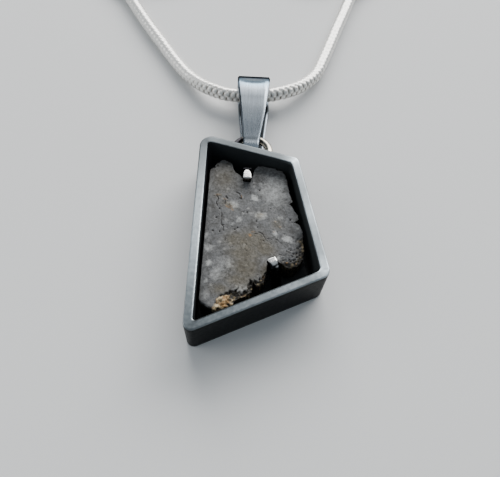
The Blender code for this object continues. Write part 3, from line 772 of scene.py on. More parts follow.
def make_band(material):
    """The wall's section, rounded at its four corners, carried round the outline: a section point is a
    share of the way from the outer to the inner outline, at a height."""
    outer = rounded_outline(BAND_CORNERS, BAND_RADII)
    inner = rounded_outline(inset_corners(BAND_CORNERS, BAND_WALL), BAND_INNER_RADII)
    top, soft, sharp = BAND_HEIGHT, RIM_SOFT_EDGE, RIM_SHARP_EDGE
    section = [(0.0, z) for z in np.linspace(OUTER_FOOT_Z, top - soft, WALL_STEPS)[:-1]]
    section += [(soft * (1 - math.cos(a)), top - soft * (1 - math.sin(a))) for a in QUARTER_TURN]
    section += [(f, top) for f in np.linspace(soft, 1 - sharp, RIM_STEPS)[1:-1]]
    section += [(1 - sharp * (1 - math.sin(a)), top - sharp * (1 - math.cos(a))) for a in QUARTER_TURN]
    section += [(1.0, z) for z in np.linspace(top - sharp, INNER_FOOT_Z, WALL_STEPS)[1:]]
    share, height = np.array(section + BAND_FOOT).T
    rings = raised(outer[:, None, :] + (inner - outer)[:, None, :] * share[:, None], height) * MM
    rubbed = ramp(height, *RUBBED_Z)
    way = outline_way(outer, BAND_CORNERS)[:, None]
    uneven = np.random.default_rng(5).normal(size=(len(outer), 1))
    # Rubbed tone of the rim, with painted light and shade along it.
    rim = np.interp(way, *zip(*RIM_TONE)) * (1 + RIM_UNEVEN * uneven)
    on_and_off = (0, 1, 1, 0)
    # A painted highlight on the left inner edge.
    inner_highlight = np.interp(way, INNER_EDGE_HIGHLIGHT, on_and_off) * ramp(share, *INNER_EDGE_HIGHLIGHT_SHARE) * rubbed
    # Painted shade on the inner edge of the foot side.
    inner_shade = np.interp(way, SHADED_INNER_EDGE, on_and_off) * ramp(share, *SHADED_INNER_EDGE_SHARE)
    # Outer walls darker than the inner: painted shade over the black tarnish.
    wall = np.where(share < 0.5, OUTER_TONE, INNER_TONE)
    tone = (rubbed * (rim + INNER_EDGE_HIGHLIGHT_TONE * inner_highlight) + (1 - rubbed) * wall) * (1 - INNER_EDGE_SHADE_BY * inner_shade)
    marks = {"rubbed": np.broadcast_to(rubbed, tone.shape), "tone": tone}
    return new_piece("box_frame", rings, material, "pendant", marks, turned=True)


band = make_band(frame_silver())
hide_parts("frame_band")


# Back plate. Silver sheet, 0.9 mm, soldered inside the band and blackened, so that
# the slice stands against a dark ground.
PLATE_THICKNESS = 0.9
PLATE_CLEARANCE = 0.01
PLATE_RINGS = 12


def blackened_silver():
    """Oxidised silver: nearly black, with a slow mottling and fine scratches."""
    finish = Finish("blackened_silver")
    fine = finish.noise(5000.0, 4.0)
    mottling = finish.moved(finish.noise(500.0, 4.0), 0.35, 0.7)
    colour = finish.mixed(mottling, (0.022, 0.024, 0.027), (0.055, 0.055, 0.056))
    return finish.done(colour, finish.moved(fine, 0.3, 0.7, 0.38, 0.6), 0.35, relief=fine, strength=0.3)


def make_plate(material):
    """Rings of the plate's outline drawn towards its middle, above and below, joined round the rim."""
    outline = rounded_outline(inset_corners(BAND_CORNERS, BAND_WALL + PLATE_CLEARANCE), BAND_INNER_RADII)
    middle = outline.mean(axis=0)
    shares = np.append(0.02, np.linspace(0.1, 1.0, PLATE_RINGS))
    heights = np.repeat((0.0, PLATE_THICKNESS), len(shares))
    flat = middle + (outline - middle) * np.append(shares, shares[::-1])[:, None, None]
    ends = np.array([(*middle, 0.0), (*middle, PLATE_THICKNESS)])
    return new_piece("dark_back_plate", raised(flat, heights[:, None]) * MM, material, "pendant",
                     ends=ends * MM)


plate = make_plate(blackened_silver())
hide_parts("back_plate")


# Meteorite slice. Stony meteorite sawn to 3.2 mm and ground flat, its edges left as
# they broke: grey matrix with pale clasts, dark cracks and pits, and rust at the foot.
SLICE_OUTLINE = np.array([
    (-6.46, 1.85), (-5.88, 2.3), (-5.64, 2.75), (-5.17, 3.36), (-4.62, 3.5), (-3.66, 2.96), (-3.48, 2.18),
    (-3.18, 1.62), (-2.65, 1.25), (-2.35, 0.85), (-1.65, 0.74), (-1.02, 0.92), (-0.85, 1.55),
    (-0.74, 2.16), (-0.28, 2.62), (0.28, 2.74), (1.15, 2.6), (2.01, 2.38), (2.87, 2.09), (3.17, 1.52),
    (3.46, 0.63), (3.53, -0.03), (3.71, -0.92), (3.98, -2.03), (4.2, -2.5), (3.98, -2.6), (3.68, -2.86),
    (3.92, -3.1), (4.23, -3.68), (4.72, -4.26), (4.81, -5.1), (4.55, -5.3), (4.2, -5.5), (4.55, -5.62),
    (4.89, -5.8), (5.32, -6.91), (5.38, -8.23), (5.48, -9.33), (5.27, -10.42), (4.73, -11.16),
    (3.94, -11.56), (3.29, -11.5), (2.8, -11.12), (2.3, -10.92), (1.5, -10.98), (1.05, -11.5),
    (0.95, -12.3), (0.67, -13.48), (0.09, -14.11), (-0.35, -13.9), (-0.62, -13.55), (-0.72, -14.75),
    (-1.28, -15.24), (-1.96, -15.65), (-2.63, -15.94), (-2.88, -16.59), (-3.78, -16.98), (-4.67, -17.27),
    (-5.32, -17.01), (-5.96, -16.76), (-6.5, -16.4), (-6.66, -15.95),
])
SLICE_MIDDLE = np.array((-1.6, -7.2))
SLICE_FOOT_Z = 1.2
SLICE_FACE_Z = 4.4
SLICE_AROUND = 640
SLICE_RINGS = 104
SIDE_RINGS = 18
FOOT_RINGS = 6
RINGS_CROWD_OUTWARD = 0.92
SAWN_X = -6.4
# How far the outline is set back at a sawn edge, a broken edge, the side and the underside.
SAWN_BACK = 0.02
EDGE_BACK = 0.08
SIDE_BACK = 0.04
SIDE_BACK_LIMITS = (-0.04, 0.5)
FOOT_BACK = 0.15
# The side begins and ends this far from the faces, and follows the ground face's relief to a depth.
SIDE_MARGIN = 0.1
SIDE_FOLLOWS_TO = 1.2
# Noise, as layers of height, size and seed.
EDGE_CHIPS = ((0.11, 0.45, 3), (0.08, 0.24, 4))
SIDE_BREAKS = ((0.16, 0.9, 5), (0.10, 0.35, 6), (0.05, 0.18, 7))
WARP_X = ((0.12, 0.5, 21), (0.08, 0.23, 22))
WARP_Y = ((0.12, 0.5, 23), (0.08, 0.23, 24))
CRUST_WAVES = (0.16, 0.26, 25)
CRACK_BREAKS = (0.5, 0.3, 31)
LEDGE_GAPS = (1.0, 0.5, 26)
CRUMBLES_X = (0.20, 0.42, 35)
CRUMBLES_Y = (0.20, 0.42, 36)
RUST_PATCHES = (0.45, 0.20, 37)
RUST_LUMPS = (0.3, 0.25, 17)
FACE_RELIEF = ((0.010, 0.35, 11), (0.015, 1.6, 12), (0.006, 0.17, 14))
RUBBLE_BENDS = ((0.12, 0.33, 27), (0.12, 0.33, 28), (0.12, 0.33, 29))
RUBBLE = ((0.45, 0.37, 15), (0.35, 0.19, 16), (0.15, 0.11, 18))
PIT_DEPTH = 0.12
CRUST_DEPTH = 0.26
RUBBLE_DEPTH = 0.36
RUST_HEIGHT = 0.22
CRUST_BLEND = (-0.08, 0.08)
CRUST_LEFT_X = -5.0
LEDGE_X = (-4.9, 1.0)
# Where the face slopes away to a broken edge, also painted darker there as painted shade: depth, reach, and
# the edge it slopes to.
FALLS = (
    (0.3, 0.8, ((3.2, -11.6), (4.1, -11.7), (5.0, -11.2), (5.5, -10.4), (5.65, -9.3), (5.6, -8.2))),
    (0.7, 0.34, ((-7.0, -16.4), (-6.3, -17.0), (-5.3, -17.5), (-4.8, -17.6))),
)
# Pits, and their radius; many more small ones are strewn over the lower right lobe and the face.
SLICE_PITS = (
    (-5.55, -7.1, 0.13), (-5.27, -5.21, 0.12), (-4.79, -7.15, 0.09), (-4.99, -3.92, 0.09),
    (-0.03, -1.05, 0.1), (-1.93, -4.31, 0.08), (-1.5, -4.29, 0.08), (-0.38, -5.55, 0.11),
    (-5.52, 2.57, 0.16), (-5.91, 2.24, 0.13), (-2.97, -6.79, 0.09), (-2.63, -6.49, 0.08),
    (3.82, -5.19, 0.1), (0.53, -13.19, 0.12), (0.13, -13.13, 0.09), (-3.34, -16.41, 0.16),
    (-4.46, -16.93, 0.12), (3.76, -9.36, 0.1), (4.72, -9.01, 0.09), (4.95, -9.46, 0.1),
    (4.13, -9.8, 0.12), (4.47, -9.71, 0.11), (3.99, -10.11, 0.11), (4.87, -9.92, 0.14),
    (4.56, -10.16, 0.12), (3.61, -10.57, 0.13), (3.77, -10.79, 0.11), (4.15, -10.62, 0.14),
    (4.75, -10.67, 0.12), (4.27, -10.99, 0.13), (1.35, -3.65, 0.07), (-4.45, -6.2, 0.07),
)
LOBE_PITS = 90
FACE_PITS = 150
LOBE_MIDDLE = (4.35, -9.85)
LOBE_REACH = (0.62, 0.75)
# Cracks: half width, strength, and the line they take.
CRACKS = (
    (0.055, 0.8, ((-4.69, -4.85), (-4.66, -5.5), (-4.63, -6.07), (-4.44, -6.46), (-4.31, -7.01))),
    (0.06, 0.9, ((-5.34, -2.05), (-5.2, -2.55), (-5.36, -2.98), (-5.29, -3.56))),
    (0.05, 0.3, ((-5.29, -3.56), (-4.99, -3.92), (-4.69, -4.85))),
    (0.1, 1.5, ((-4.22, -2.16), (-4.03, -2.49))),
    (0.1, 1.4, ((-4.38, -2.68), (-4.39, -3.18))),
    (0.07, 1.1, ((-2.99, -1.42), (-2.62, -1.61), (-2.42, -2.16), (-2.27, -2.49))),
    (0.035, 0.65, ((2.95, -3.5), (3.26, -4.15), (3.61, -4.87), (3.82, -5.19), (4.09, -5.66))),
    (0.05, 0.7, ((-0.65, -7.31), (-0.24, -7.37), (0.1, -7.15), (0.46, -7.49), (0.67, -7.95), (1.02, -8.3))),
    (0.05, 0.6, ((1.02, -7.94), (1.43, -8.07), (1.29, -8.39), (1.57, -8.61))),
    (0.045, 0.6, ((2.12, -7.89), (2.53, -8.41), (2.81, -8.63))),
    (0.045, 0.55, ((3.92, -7.57), (4.12, -7.88))),
    (0.06, 0.8, ((2.48, -10.02), (3.04, -10.03))),
    (0.07, 1.0, ((-2.98, -14.98), (-2.57, -14.66), (-2.25, -14.37))),
    (0.13, 1.0, ((-0.99, -13.39), (-0.78, -13.74), (-0.45, -14.01), (-0.1, -14.4))),
    (0.08, 0.9, ((-0.7, -13.5), (-0.33, -13.62))),
    (0.06, 0.7, ((-4.05, -8.08), (-4.0, -8.39))),
    (0.05, 0.5, ((-2.97, -6.79), (-2.63, -6.49), (-2.1, -6.3))),
)
# Pale clasts: place, half length, half width, turn in degrees, strength.
CLASTS = (
    (-0.66, -2.26, 0.48, 0.3, -35, 1.0), (-0.07, -4.64, 0.9, 0.55, -15, 0.72),
    (0.98, -2.67, 0.3, 0.25, 0, 0.4), (1.98, -5.52, 0.25, 0.18, 0, 0.55),
    (2.54, -6.14, 0.3, 0.25, 0, 0.4), (1.95, -7.25, 0.55, 0.2, -55, 0.6),
    (3.4, -7.85, 0.75, 0.33, -45, 0.9), (2.41, -5.01, 0.45, 0.25, 15, 0.4),
    (-2.46, -5.48, 0.45, 0.38, 60, 0.7), (-3.35, -5.93, 0.22, 0.18, 0, 0.5),
    (-3.15, -3.2, 0.6, 0.42, -20, 0.62), (-6.26, -7.79, 0.32, 0.45, 0, 0.55),
    (-5.9, -9.32, 0.62, 0.45, 0, 0.75), (-5.76, -11.41, 0.48, 0.38, 20, 0.85),
    (-3.4, -11.4, 0.55, 0.6, 0, 0.55), (-4.8, -12.76, 0.8, 0.75, 0, 0.55),
    (-6.09, -13.6, 0.35, 0.35, 0, 0.65), (-1.69, -8.91, 0.4, 0.35, 0, 0.4),
    (-1.92, -14.5, 0.55, 0.3, 25, 0.6), (-2.58, -14.31, 0.22, 0.2, 0, 0.6),
    (2.25, -10.45, 0.45, 0.35, 0, 0.5), (-5.88, -15.3, 0.5, 0.6, 0, 0.35),
    (-6.2, -0.6, 0.35, 0.8, 0, 0.3), (0.7, -1.1, 0.6, 0.5, 0, 0.35), (1.7, -1.2, 1.9, 2.6, 0, 0.46),
    (1.9, -0.6, 0.5, 0.4, 0, 0.45), (-4.3, -11.9, 1.1, 1.5, 0, 0.3),
)
# Brown stain, and the rust that has come through it: place, half length, half width, turn, strength.
STAINS = (
    (-2.6, -8.3, 1.3, 1.0, 0, 0.9), (-0.8, -8.2, 1.5, 1.1, -15, 1.0), (0.6, -9.2, 1.2, 0.9, -25, 1.0),
    (-1.6, -9.9, 1.7, 1.3, 0, 1.0), (-1.5, -11.8, 1.4, 1.5, 0, 0.9), (-2.2, -13.4, 1.6, 0.9, 0, 0.7),
    (-4.3, -14.6, 1.1, 0.6, 0, 0.6), (-3.9, -3.4, 0.9, 0.5, -25, 0.55), (-5.2, -2.0, 0.6, 0.4, 0, 0.4),
    (0.0, -4.7, 0.6, 0.4, 0, 0.35), (2.1, -5.9, 0.6, 0.7, 0, 0.4), (0.8, -12.2, 0.5, 0.9, 0, 0.9),
    (-4.6, 0.6, 1.4, 2.0, 0, 0.5),
)
RUST = (
    (-3.75, -16.15, 0.5, 0.42, 0, 1.0), (-4.2, -15.85, 0.5, 0.3, 25, 0.9),
    (-3.55, -15.65, 0.5, 0.22, 20, 0.9), (-4.45, -16.65, 0.5, 0.4, 35, 0.95),
    (-3.25, -16.3, 0.4, 0.25, 10, 0.85), (-3.05, -15.85, 0.3, 0.15, 20, 0.6),
    (-3.75, -16.75, 0.45, 0.25, 15, 0.8), (-4.85, -17.0, 0.35, 0.25, 25, 0.7),
    (-2.55, -15.85, 0.3, 0.12, 20, 0.5), (-1.44, -15.25, 0.4, 0.16, 25, 0.6),
    (-0.88, -15.05, 0.32, 0.14, 28, 0.62), (-0.36, -14.72, 0.28, 0.12, 35, 0.55),
    (-2.05, -15.45, 0.25, 0.12, 20, 0.5), (-0.8, -14.4, 0.2, 0.12, 40, 0.5),
    (0.45, -13.2, 0.16, 0.3, 0, 0.5),
)
OCHRE = (
    (-3.78, -15.8, 0.32, 0.2, 10, 1.0), (-3.95, -16.5, 0.26, 0.18, 0, 1.0),
    (-3.45, -16.1, 0.2, 0.15, 0, 0.8), (-1.12, -7.45, 0.2, 0.24, 0, 0.95),
    (-3.95, -3.72, 0.6, 0.14, -28, 0.5), (-3.35, -4.0, 0.3, 0.14, -30, 0.62),
    (-4.4, -2.55, 0.45, 0.14, -20, 0.35), (-3.6, -3.55, 0.45, 0.3, -20, 0.3),
    (-3.89, -15.62, 0.22, 0.15, 0, 1.0), (-3.51, -15.53, 0.22, 0.12, 0, 0.9),
    (-3.99, -16.17, 0.28, 0.16, 20, 0.9), (-4.23, -16.42, 0.2, 0.14, 0, 0.9),
    (-3.88, -16.68, 0.28, 0.18, 0, 1.0), (-4.6, -16.1, 0.12, 0.25, 0, 0.8),
    (3.35, -10.95, 0.22, 0.12, 10, 0.85), (4.45, -11.05, 0.15, 0.1, 0, 0.7),
    (1.98, -5.52, 0.22, 0.15, 0, 0.45), (2.54, -6.14, 0.22, 0.2, 0, 0.4),
    (1.8, -7.05, 0.18, 0.16, 0, 0.45), (-5.25, -1.95, 0.4, 0.2, 0, 0.35),
    (-2.3, -2.05, 0.1, 0.35, 10, 0.6), (-0.75, -6.95, 0.3, 0.2, 0, 0.35),
    (0.2, -4.55, 0.25, 0.2, 0, 0.35), (-0.3, -14.2, 0.25, 0.12, 50, 0.6), (0.6, -12.9, 0.15, 0.3, 0, 0.5),
    (-1.7, -15.2, 0.3, 0.1, 20, 0.7),
)
# Line along the foot of the face below which the stone has broken away to a rusty crust.
CRUST_LINE = (
    (-5.0, -17.6), (-4.85, -16.4), (-4.6, -15.75), (-4.29, -15.42), (-3.78, -15.2), (-3.4, -15.1),
    (-3.2, -14.85), (-3.01, -15.1), (-2.56, -14.68), (-2.4, -14.95), (-2.11, -14.8), (-1.9, -15.05),
    (-1.53, -14.62), (-1.35, -14.75), (-1.21, -14.04), (-0.97, -13.47), (-0.62, -13.75), (-0.39, -13.4),
    (-0.1, -13.5), (0.13, -13.05), (0.4, -13.25), (0.6, -12.7), (0.85, -12.6), (0.95, -11.7),
    (1.6, -11.2), (3.0, -10.95), (4.0, -11.15), (4.9, -11.0), (5.6, -10.3),
)


def lumps(places, *layers):
    """Smooth noise, the sum of layers of a height, a size and a seed. A layer has random numbers at the
    corners of a lattice of its size, blended between them along s-curves."""
    total = np.zeros(places.shape[:-1])
    for height, size, seed in layers:
        table = height * np.random.default_rng(seed).uniform(-1, 1, (32, 32, 32))
        cell = np.floor(places / size).astype(int)
        part = places / size - cell
        part = part * part * (3 - 2 * part)
        for corner in product((0, 1), repeat=3):
            weight = np.prod(np.where(np.array(corner) == 1, part, 1 - part), axis=-1)
            i, j, k = np.moveaxis((cell + corner) % 32, -1, 0)
            total += weight * table[i, j, k]
    return total


def blots(x, y, spots, softness=2.0):
    """The strongest of some oval patches: strength times exp(-(distance in half widths) to a power)."""
    most = np.zeros(x.shape)
    for spot_x, spot_y, long, wide, turn, strength in spots:
        turn = math.radians(turn)
        ahead = ((x - spot_x) * math.cos(turn) + (y - spot_y) * math.sin(turn)) / long
        aside = ((y - spot_y) * math.cos(turn) - (x - spot_x) * math.sin(turn)) / wide
        most = np.maximum(most, strength * np.exp(-np.hypot(ahead, aside) ** softness))
    return most


def near_line(x, y, line, reach):
    """1 on a line of straight pieces, less away from it: exp(-(distance / reach) squared)."""
    least = np.full(x.shape, np.inf)
    for (ax, ay), (bx, by) in zip(line[:-1], line[1:]):
        length = math.hypot(bx - ax, by - ay)
        dx, dy = (bx - ax) / length, (by - ay) / length
        along = np.clip((x - ax) * dx + (y - ay) * dy, 0, length)
        least = np.minimum(least, np.hypot(x - ax - along * dx, y - ay - along * dy))
    return np.exp(-(least / reach) ** 2)


def all_pits():
    """The pits listed, those round the lobe's middle, and those strewn over the face, which are oval."""
    rng = np.random.default_rng(8)
    scatter = rng.normal(size=(LOBE_PITS, 2)) * LOBE_REACH + LOBE_MIDDLE
    sizes = rng.uniform(0.03, 0.075, LOBE_PITS)
    pits = [(px, py, r, r, 0, 1.0) for px, py, r in SLICE_PITS]
    pits += [(px, py, r, r, 0, 0.62) for (px, py), r in zip(scatter, sizes)]
    limits = ((-6.4, 5.2), (-15.0, 3.0), (0.03, 0.09), (0.5, 1.0), (0, 180), (0.2, 0.75))
    strewn = zip(*(rng.uniform(*limit, FACE_PITS) for limit in limits))
    return pits + [(px, py, r, r * oval, turn, strength) for px, py, r, oval, turn, strength in strewn]


def make_slice(material):
    """Rings of the broken outline: from the middle of the ground face out to its edge, down the side,
    and back to the middle of the underside. Noise sets the side back and roughens the face."""
    closed = np.vstack([SLICE_OUTLINE, SLICE_OUTLINE[:1]])
    length = lengths(closed)
    outline = at_lengths(closed, length, np.linspace(0, length[-1], SLICE_AROUND, endpoint=False))
    inward = unit(SLICE_MIDDLE - outline)
    sawn = outline[:, 0] < SAWN_X

    def ring(share, z, back):
        return raised(SLICE_MIDDLE + (outline + inward * back[:, None] - SLICE_MIDDLE) * share, z)

    edge = np.where(sawn, SAWN_BACK, EDGE_BACK + lumps(raised(outline, SLICE_FACE_Z), *EDGE_CHIPS))
    shares = np.append(0.012, np.linspace(0.02, 1.0, SLICE_RINGS) ** RINGS_CROWD_OUTWARD)
    face = [ring(share, SLICE_FACE_Z, edge) for share in shares]
    drop = np.linspace(SIDE_MARGIN, SLICE_FACE_Z - SLICE_FOOT_Z - SIDE_MARGIN, SIDE_RINGS)
    side = []
    for z in SLICE_FACE_Z - drop:
        back = np.clip(SIDE_BACK + lumps(raised(outline, z), *SIDE_BREAKS), *SIDE_BACK_LIMITS)
        side.append(ring(1.0, z, np.where(sawn, SAWN_BACK, back)))
    below = [ring(share, SLICE_FOOT_Z, edge + FOOT_BACK) for share in np.linspace(1.0, 0.02, FOOT_RINGS)]
    rows = np.array(face + side + below)

    warp_x, warp_y = lumps(rows, *WARP_X), lumps(rows, *WARP_Y)
    x, y = rows[..., 0] + warp_x, rows[..., 1] + warp_y
    under = np.interp(x, *zip(*CRUST_LINE)) - y + lumps(rows, CRUST_WAVES)
    below_line = ramp(under, *CRUST_BLEND)
    crust_and_shade = below_line * (x > CRUST_LEFT_X)
    # The side and underside take the dark crust colour, partly as painted shade; where the face slopes away
    # it is painted darker too, as painted shade.
    crust_and_shade[len(face):] = 1.0
    falls = np.array([near_line(x, y, line, reach) for _, reach, line in FALLS])
    crust_and_shade = np.maximum(crust_and_shade, np.clip(1.25 * falls.max(axis=0), 0, 1))
    cracks = np.max([strength * near_line(x, y, line, width) for width, strength, line in CRACKS], axis=0)
    cracks *= 0.75 + lumps(rows, CRACK_BREAKS)
    pits = blots(rows[..., 0] + 0.4 * warp_x, rows[..., 1] + 0.4 * warp_y, all_pits())
    ledge_shadow = 4 * below_line * (1 - below_line) * np.clip(lumps(rows, LEDGE_GAPS) + 0.6, 0, 1)
    ledge_shadow *= 0.9 * (x > LEDGE_X[0]) * (x < LEDGE_X[1])
    dark = np.clip(np.max([cracks, pits, ledge_shadow], axis=0), 0, 1)
    pale = blots(x + warp_x, y + warp_y, CLASTS, 2.2) * (1 - crust_and_shade)
    stain = np.clip(blots(x, y, STAINS) * 1.6, 0, 1)
    rust = blots(x + lumps(rows, CRUMBLES_X), y + lumps(rows, CRUMBLES_Y), RUST)
    rust = np.clip(rust * (1.2 + lumps(rows, RUST_PATCHES)), 0, 1)
    ochre = blots(x, y, OCHRE, 2.5)

    relief = lumps(rows, *FACE_RELIEF) - PIT_DEPTH * dark
    relief -= np.max([depth * fall for (depth, _, _), fall in zip(FALLS, falls)], axis=0)
    bent = rows + np.stack([lumps(rows, bend) for bend in RUBBLE_BENDS], axis=-1)
    broken = np.where(falls.max(axis=0) > 0.3, 0.3, 1.0) * (1 - 0.75 * rust) * crust_and_shade
    relief -= broken * (CRUST_DEPTH + RUBBLE_DEPTH * lumps(bent, *RUBBLE))
    relief += RUST_HEIGHT * np.maximum(rust, ochre) * crust_and_shade * (0.6 + lumps(bent, RUST_LUMPS))
    rows[:len(face), :, 2] += relief[:len(face)]
    following = ramp(drop, SIDE_FOLLOWS_TO, 0)[:, None]
    rows[len(face):len(face) + SIDE_RINGS, :, 2] += relief[len(face) - 1] * following
    ends = np.array([(*SLICE_MIDDLE, SLICE_FACE_Z), (*SLICE_MIDDLE, SLICE_FOOT_Z)])
    marks = {"dark": dark, "pale": pale, "stain": stain, "rust": rust, "ochre": ochre, "crust_and_shade": crust_and_shade}
    marks = {name: np.append(values, (0.0, 0.0)) for name, values in marks.items()}
    return new_piece("meteorite", rows * MM, material, "pendant", marks, ends * MM, turned=True)


def meteorite_stone():
    """Grey stone: a mottled matrix with small round grains, then pale clasts, brown stain, a dark crumbly
    crust that also holds painted shade, rust, and dark cracks and pits with a painted shadow under the broken
    ledge, each laid over the last where the slice is marked with it."""
    finish = Finish("meteorite_stone")
    mark, mixed, moved = finish.mark, finish.mixed, finish.moved

    def product_of(first, second):
        return finish.calculated("MULTIPLY", first, second)

    def over(under, colour, pattern, low, high, least=0.0, most=1.0):
        return mixed(moved(pattern, low, high, least, most), under, colour)

    def cells(scale):
        """Distance from the middle of a cell, and a random shade for each cell."""
        colour = finish.node("TexVoronoi", {"Vector": finish.places(), "Scale": scale}, "Color")
        return colour.node.outputs["Distance"], finish.node("SeparateColor", {0: colour}, 0)

    slow = finish.noise(450.0, 3.0, 0.6)
    middle = finish.noise(1500.0, 4.0, 0.65, 0.7)
    fine = finish.noise(4200.0, 5.0, 0.7, 0.3)
    face = over((0.055, 0.054, 0.052), (0.102, 0.104, 0.108), slow, 0.38, 0.62)
    face = over(face, (0.140, 0.143, 0.150), finish.noise(900.0, 3.0, 0.6, 0.5), 0.46, 0.62, 0.0, 0.6)
    face = over(face, (0.160, 0.161, 0.163), middle, 0.42, 0.66, 0.0, 0.9)
    for scale, chosen_from, size, colour in ((1500.0, 0.80, 0.40, (0.30, 0.30, 0.295)),
                                             (2600.0, 0.84, 0.36, (0.028, 0.026, 0.024))):
        distance, shade = cells(scale)
        chosen = moved(shade, chosen_from, chosen_from + 0.06, 0.0, 0.65)
        face = mixed(product_of(moved(distance, 0.12, size, 1.0, 0.0), chosen), face, colour)
    face = over(face, (0.040, 0.038, 0.036), fine, 0.36, 0.56, 0.70, 0.0)
    pale = product_of(mark("pale"), moved(middle, 0.25, 0.62, 0.5, 1.3))
    pale = product_of(pale, moved(fine, 0.3, 0.6, 0.55, 1.2))
    face = over(face, (0.39, 0.395, 0.39), pale, 0.12, 0.80, 0.0, 0.95)
    stain = product_of(mark("stain"), moved(middle, 0.25, 0.65, 1.0, 0.6))
    face = mixed(stain, face, (0.93, 0.84, 0.64), "MULTIPLY")
    brown = over((0.050, 0.039, 0.024), (0.150, 0.126, 0.086), fine, 0.35, 0.65)
    face = mixed(product_of(stain, 0.45), face, brown)
    distance, shade = cells(3000.0)
    crumbs = over((0.020, 0.015, 0.009), (0.20, 0.155, 0.085), shade, 0.35, 0.9)
    crumbs = over(crumbs, (0.008, 0.006, 0.004), distance, 0.25, 0.7, 0.0, 0.9)
    # Dark crumbly crust, with painted shade where the face slopes away and on the side.
    face = over(face, crumbs, mark("crust_and_shade"), 0.1, 0.9, 0.0, 0.9)
    cream = over((0.20, 0.120, 0.050), (0.58, 0.46, 0.28), finish.noise(2600.0, 4.0, 0.6, 0.2), 0.42, 0.56)
    face = over(face, cream, mark("rust"), 0.25, 0.75, 0.0, 0.92)
    orange = over((0.16, 0.075, 0.024), (0.40, 0.23, 0.085), fine, 0.35, 0.65)
    face = over(face, orange, mark("ochre"), 0.15, 0.9, 0.0, 0.95)
    face = over(face, (0.010, 0.008, 0.006), mark("dark"), 0.12, 0.72, 0.0, 0.97)
    gloss = moved(fine, 0.3, 0.7, 0.72, 0.48)
    return finish.done(face, gloss, 0.0, {"Specular IOR Level": 0.35}, fine, 0.4, 0.05 * MM)


stone = make_slice(meteorite_stone())
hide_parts("meteorite_slice")


# Claws. Rectangular silver wire, 1.1 by 0.85 mm, soldered to the plate and bent
# over the edge of the slice; blackened, and rubbed bright on top.
CLAW_WIDTH = 1.1
CLAW_THICKNESS = 0.85
CLAW_TOP_Z = 5.1
CLAW_SQUARE = 0.35
CLAW_SPACING = 0.03
CLAW_AROUND = 64
BEND_THICKER = 0.5
BEND_Z = (4.8, 5.1)
TIP_NARROWER = 0.12
TIP_ROUNDING = 0.12
FLAT_STEP = 0.16
FLAT_BLEND = 0.10
FLAT_SLOPE = 0.35
GLINT_Z = (4.8, 4.6)
# Foot, turn in degrees, how far the shaft leans, and how far the tip reaches over the slice.
UPPER_CLAW = ((-1.67, 1.68), 180.0, 0.0, 1.60)
LOWER_CLAW = ((2.43, -13.10), 26.0, 1.35, 1.05)
# Seen from above: the outline of the bright flat filed on each claw.
UPPER_FLAT = (
    (-2.2, 0.02), (-2.16, 0.75), (-1.98, 1.12), (-1.74, 1.28), (-1.48, 1.14), (-1.26, 0.8), (-1.14, 0.02),
)
LOWER_FLAT = ((0.92, -11.22), (1.98, -10.72), (2.12, -11.55), (1.66, -11.95))
# A painted highlight along the edge beside it, how bright and how wide, and how far down the claw.
LOWER_EDGE_HIGHLIGHT = ((2.08, -11.40), (2.20, -12.30))
EDGE_HIGHLIGHT_SHINE = 0.8
EDGE_HIGHLIGHT_REACH = 0.10
EDGE_HIGHLIGHT_Z = 4.3


def inside_flat(x, y, corners):
    """How far inside a convex outline each place is, in millimetres; less than nothing outside."""
    return np.min([(x - start[0]) * inward[0] + (y - start[1]) * inward[1]
                   for start, _, inward in sides_of(np.array(corners))], axis=0)


def make_claw(name, foot, turn, lean, reach, flat_corners, edge_highlight, material):
    """A rounded flat section carried up the shaft and round the bend; it narrows over the last rings to
    close the tip."""
    sideways = directions(math.radians(turn))
    direction = left_of(sideways)
    top = CLAW_TOP_Z
    side = np.array([(0.0, 0.92), (0.25 * lean, 1.8), (0.6 * lean, 3.0), (0.9 * lean, 4.1),
                     (lean + 0.08, 4.72), (lean + 0.42, top - 0.02), (lean + 0.75, top), (lean + reach, top)])
    line = smooth_path(raised(side, 0.0), CLAW_SPACING)[0][:, :2]
    normal = left_of(unit(np.gradient(line, axis=0)))
    wide, deep = (squared(circle(CLAW_AROUND), CLAW_SQUARE) * (CLAW_WIDTH / 2, CLAW_THICKNESS / 2)).T
    deep = deep * np.where(deep < 0, 1 + BEND_THICKER * ramp(line[:, 1:], *BEND_Z), 1.0)
    from_tip = CLAW_SPACING * np.arange(len(line))[::-1, None]
    close = 1 - TIP_NARROWER + TIP_NARROWER * np.sqrt(1 - ramp(from_tip, TIP_ROUNDING, 0) ** 2)
    ahead, height = (line[:, k:k + 1] + normal[:, k:k + 1] * deep * close for k in range(2))
    flat = foot + direction * ahead[..., None] + sideways * (wide * close)[..., None]
    x, y = flat[..., 0], flat[..., 1]
    inside = inside_flat(x, y, flat_corners)
    shine = ramp(inside, -FLAT_BLEND / 2, FLAT_BLEND / 2) * ramp(height, top + 0.18, top + 0.28)
    height = height - FLAT_STEP * ramp(inside, 0, -FLAT_SLOPE) * ramp(height, top, top + 0.2)
    # A painted highlight along the lower claw's edge.
    if edge_highlight:
        near = near_line(x, y, edge_highlight, EDGE_HIGHLIGHT_REACH)
        shine = np.maximum(shine, EDGE_HIGHLIGHT_SHINE * near * (height > EDGE_HIGHLIGHT_Z))
    glint = ramp(height, *GLINT_Z) * min(lean, 1.0)
    marks = {"shine": np.append(shine, (0.0, 0.0)), "glint": np.append(glint, (1.0, 1.0))}
    rings = raised(flat, height) * MM
    ends = rings[[0, -1]].mean(axis=1)
    return new_piece(name, rings, material, "pendant", marks, ends)


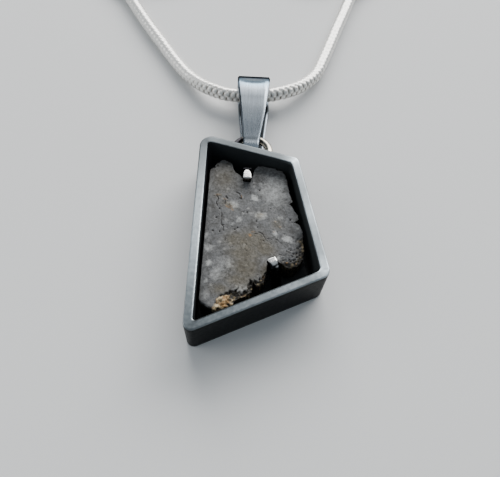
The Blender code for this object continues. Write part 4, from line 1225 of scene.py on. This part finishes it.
def claw_silver():
    """Bright silver where the claw is filed and along a painted edge highlight; elsewhere dark, streaked
    along the wire, with brown glints.
    """
    finish = Finish("claw_silver")
    streaks = finish.moved(finish.noise(1.0, 4.0, stretch=(5200, 5200, 700)), 0.38, 0.66)
    fine = finish.noise(3800.0, 4.0)
    glint = finish.calculated("MULTIPLY", finish.mark("glint"), streaks)
    dark = finish.mixed(glint, (0.016, 0.016, 0.018), (0.40, 0.34, 0.26))
    bright = finish.mixed(finish.moved(fine, 0.35, 0.7), (0.95, 0.94, 0.92), (0.72, 0.71, 0.69))
    colour = finish.mixed(finish.mark("shine"), dark, bright)
    gloss = finish.moved(fine, 0.3, 0.7, 0.20, 0.34)
    return finish.done(colour, gloss, 1.0, {"Specular Tint": (0.3, 0.3, 0.32)}, fine, 0.15)


claw_finish = claw_silver()
upper_claw = make_claw("upper_claw", *UPPER_CLAW, UPPER_FLAT, None, claw_finish)
lower_claw = make_claw("lower_claw", *LOWER_CLAW, LOWER_FLAT, LOWER_EDGE_HIGHLIGHT, claw_finish)
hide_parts("claw_upper")
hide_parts("claw_lower")


# Studio: a plain pale floor, a big soft light behind and to the right, and soft
# light from all round.
FLOOR_REACH = 0.6
FLOOR_GREY = (0.75, 0.75, 0.75)
LIGHT_COLOUR = (1.0, 0.99, 0.97)
SKY_COLOUR = (0.80, 0.91, 1.0)
SKY_STRENGTH = 0.38

floor_mesh = bpy.data.meshes.new("floor")
floor_mesh.from_pydata([(-FLOOR_REACH, -FLOOR_REACH, 0), (FLOOR_REACH, -FLOOR_REACH, 0),
                        (FLOOR_REACH, FLOOR_REACH, 0), (-FLOOR_REACH, FLOOR_REACH, 0)], [], [(0, 1, 2, 3)])
floor_mesh.materials.append(Finish("floor_paint").done(FLOOR_GREY, 0.9))
floor = bpy.data.objects.new("floor", floor_mesh)
bpy.context.scene.collection.objects.link(floor)


def soft_light(name, place, size, watts):
    """A rectangular lamp that shines on the pendant."""
    data = bpy.data.lights.new(name, "AREA")
    data.shape = "RECTANGLE"
    data.size, data.size_y = size
    data.energy = watts
    data.color = LIGHT_COLOUR
    made = bpy.data.objects.new(name, data)
    made.location = place
    made.rotation_euler = (-Vector(place)).to_track_quat("-Z", "Y").to_euler()
    bpy.context.scene.collection.objects.link(made)


soft_light("window", (0.17, 0.64, 0.45), (1.1, 0.5), 14.0)
soft_light("left_fill", (-0.55, 0.02, 0.30), (0.4, 0.4), 1.0)
world = bpy.data.worlds.new("studio")
world.use_nodes = True
world.node_tree.nodes["Background"].inputs["Color"].default_value = (*SKY_COLOUR, 1)
world.node_tree.nodes["Background"].inputs["Strength"].default_value = SKY_STRENGTH
bpy.context.scene.world = world
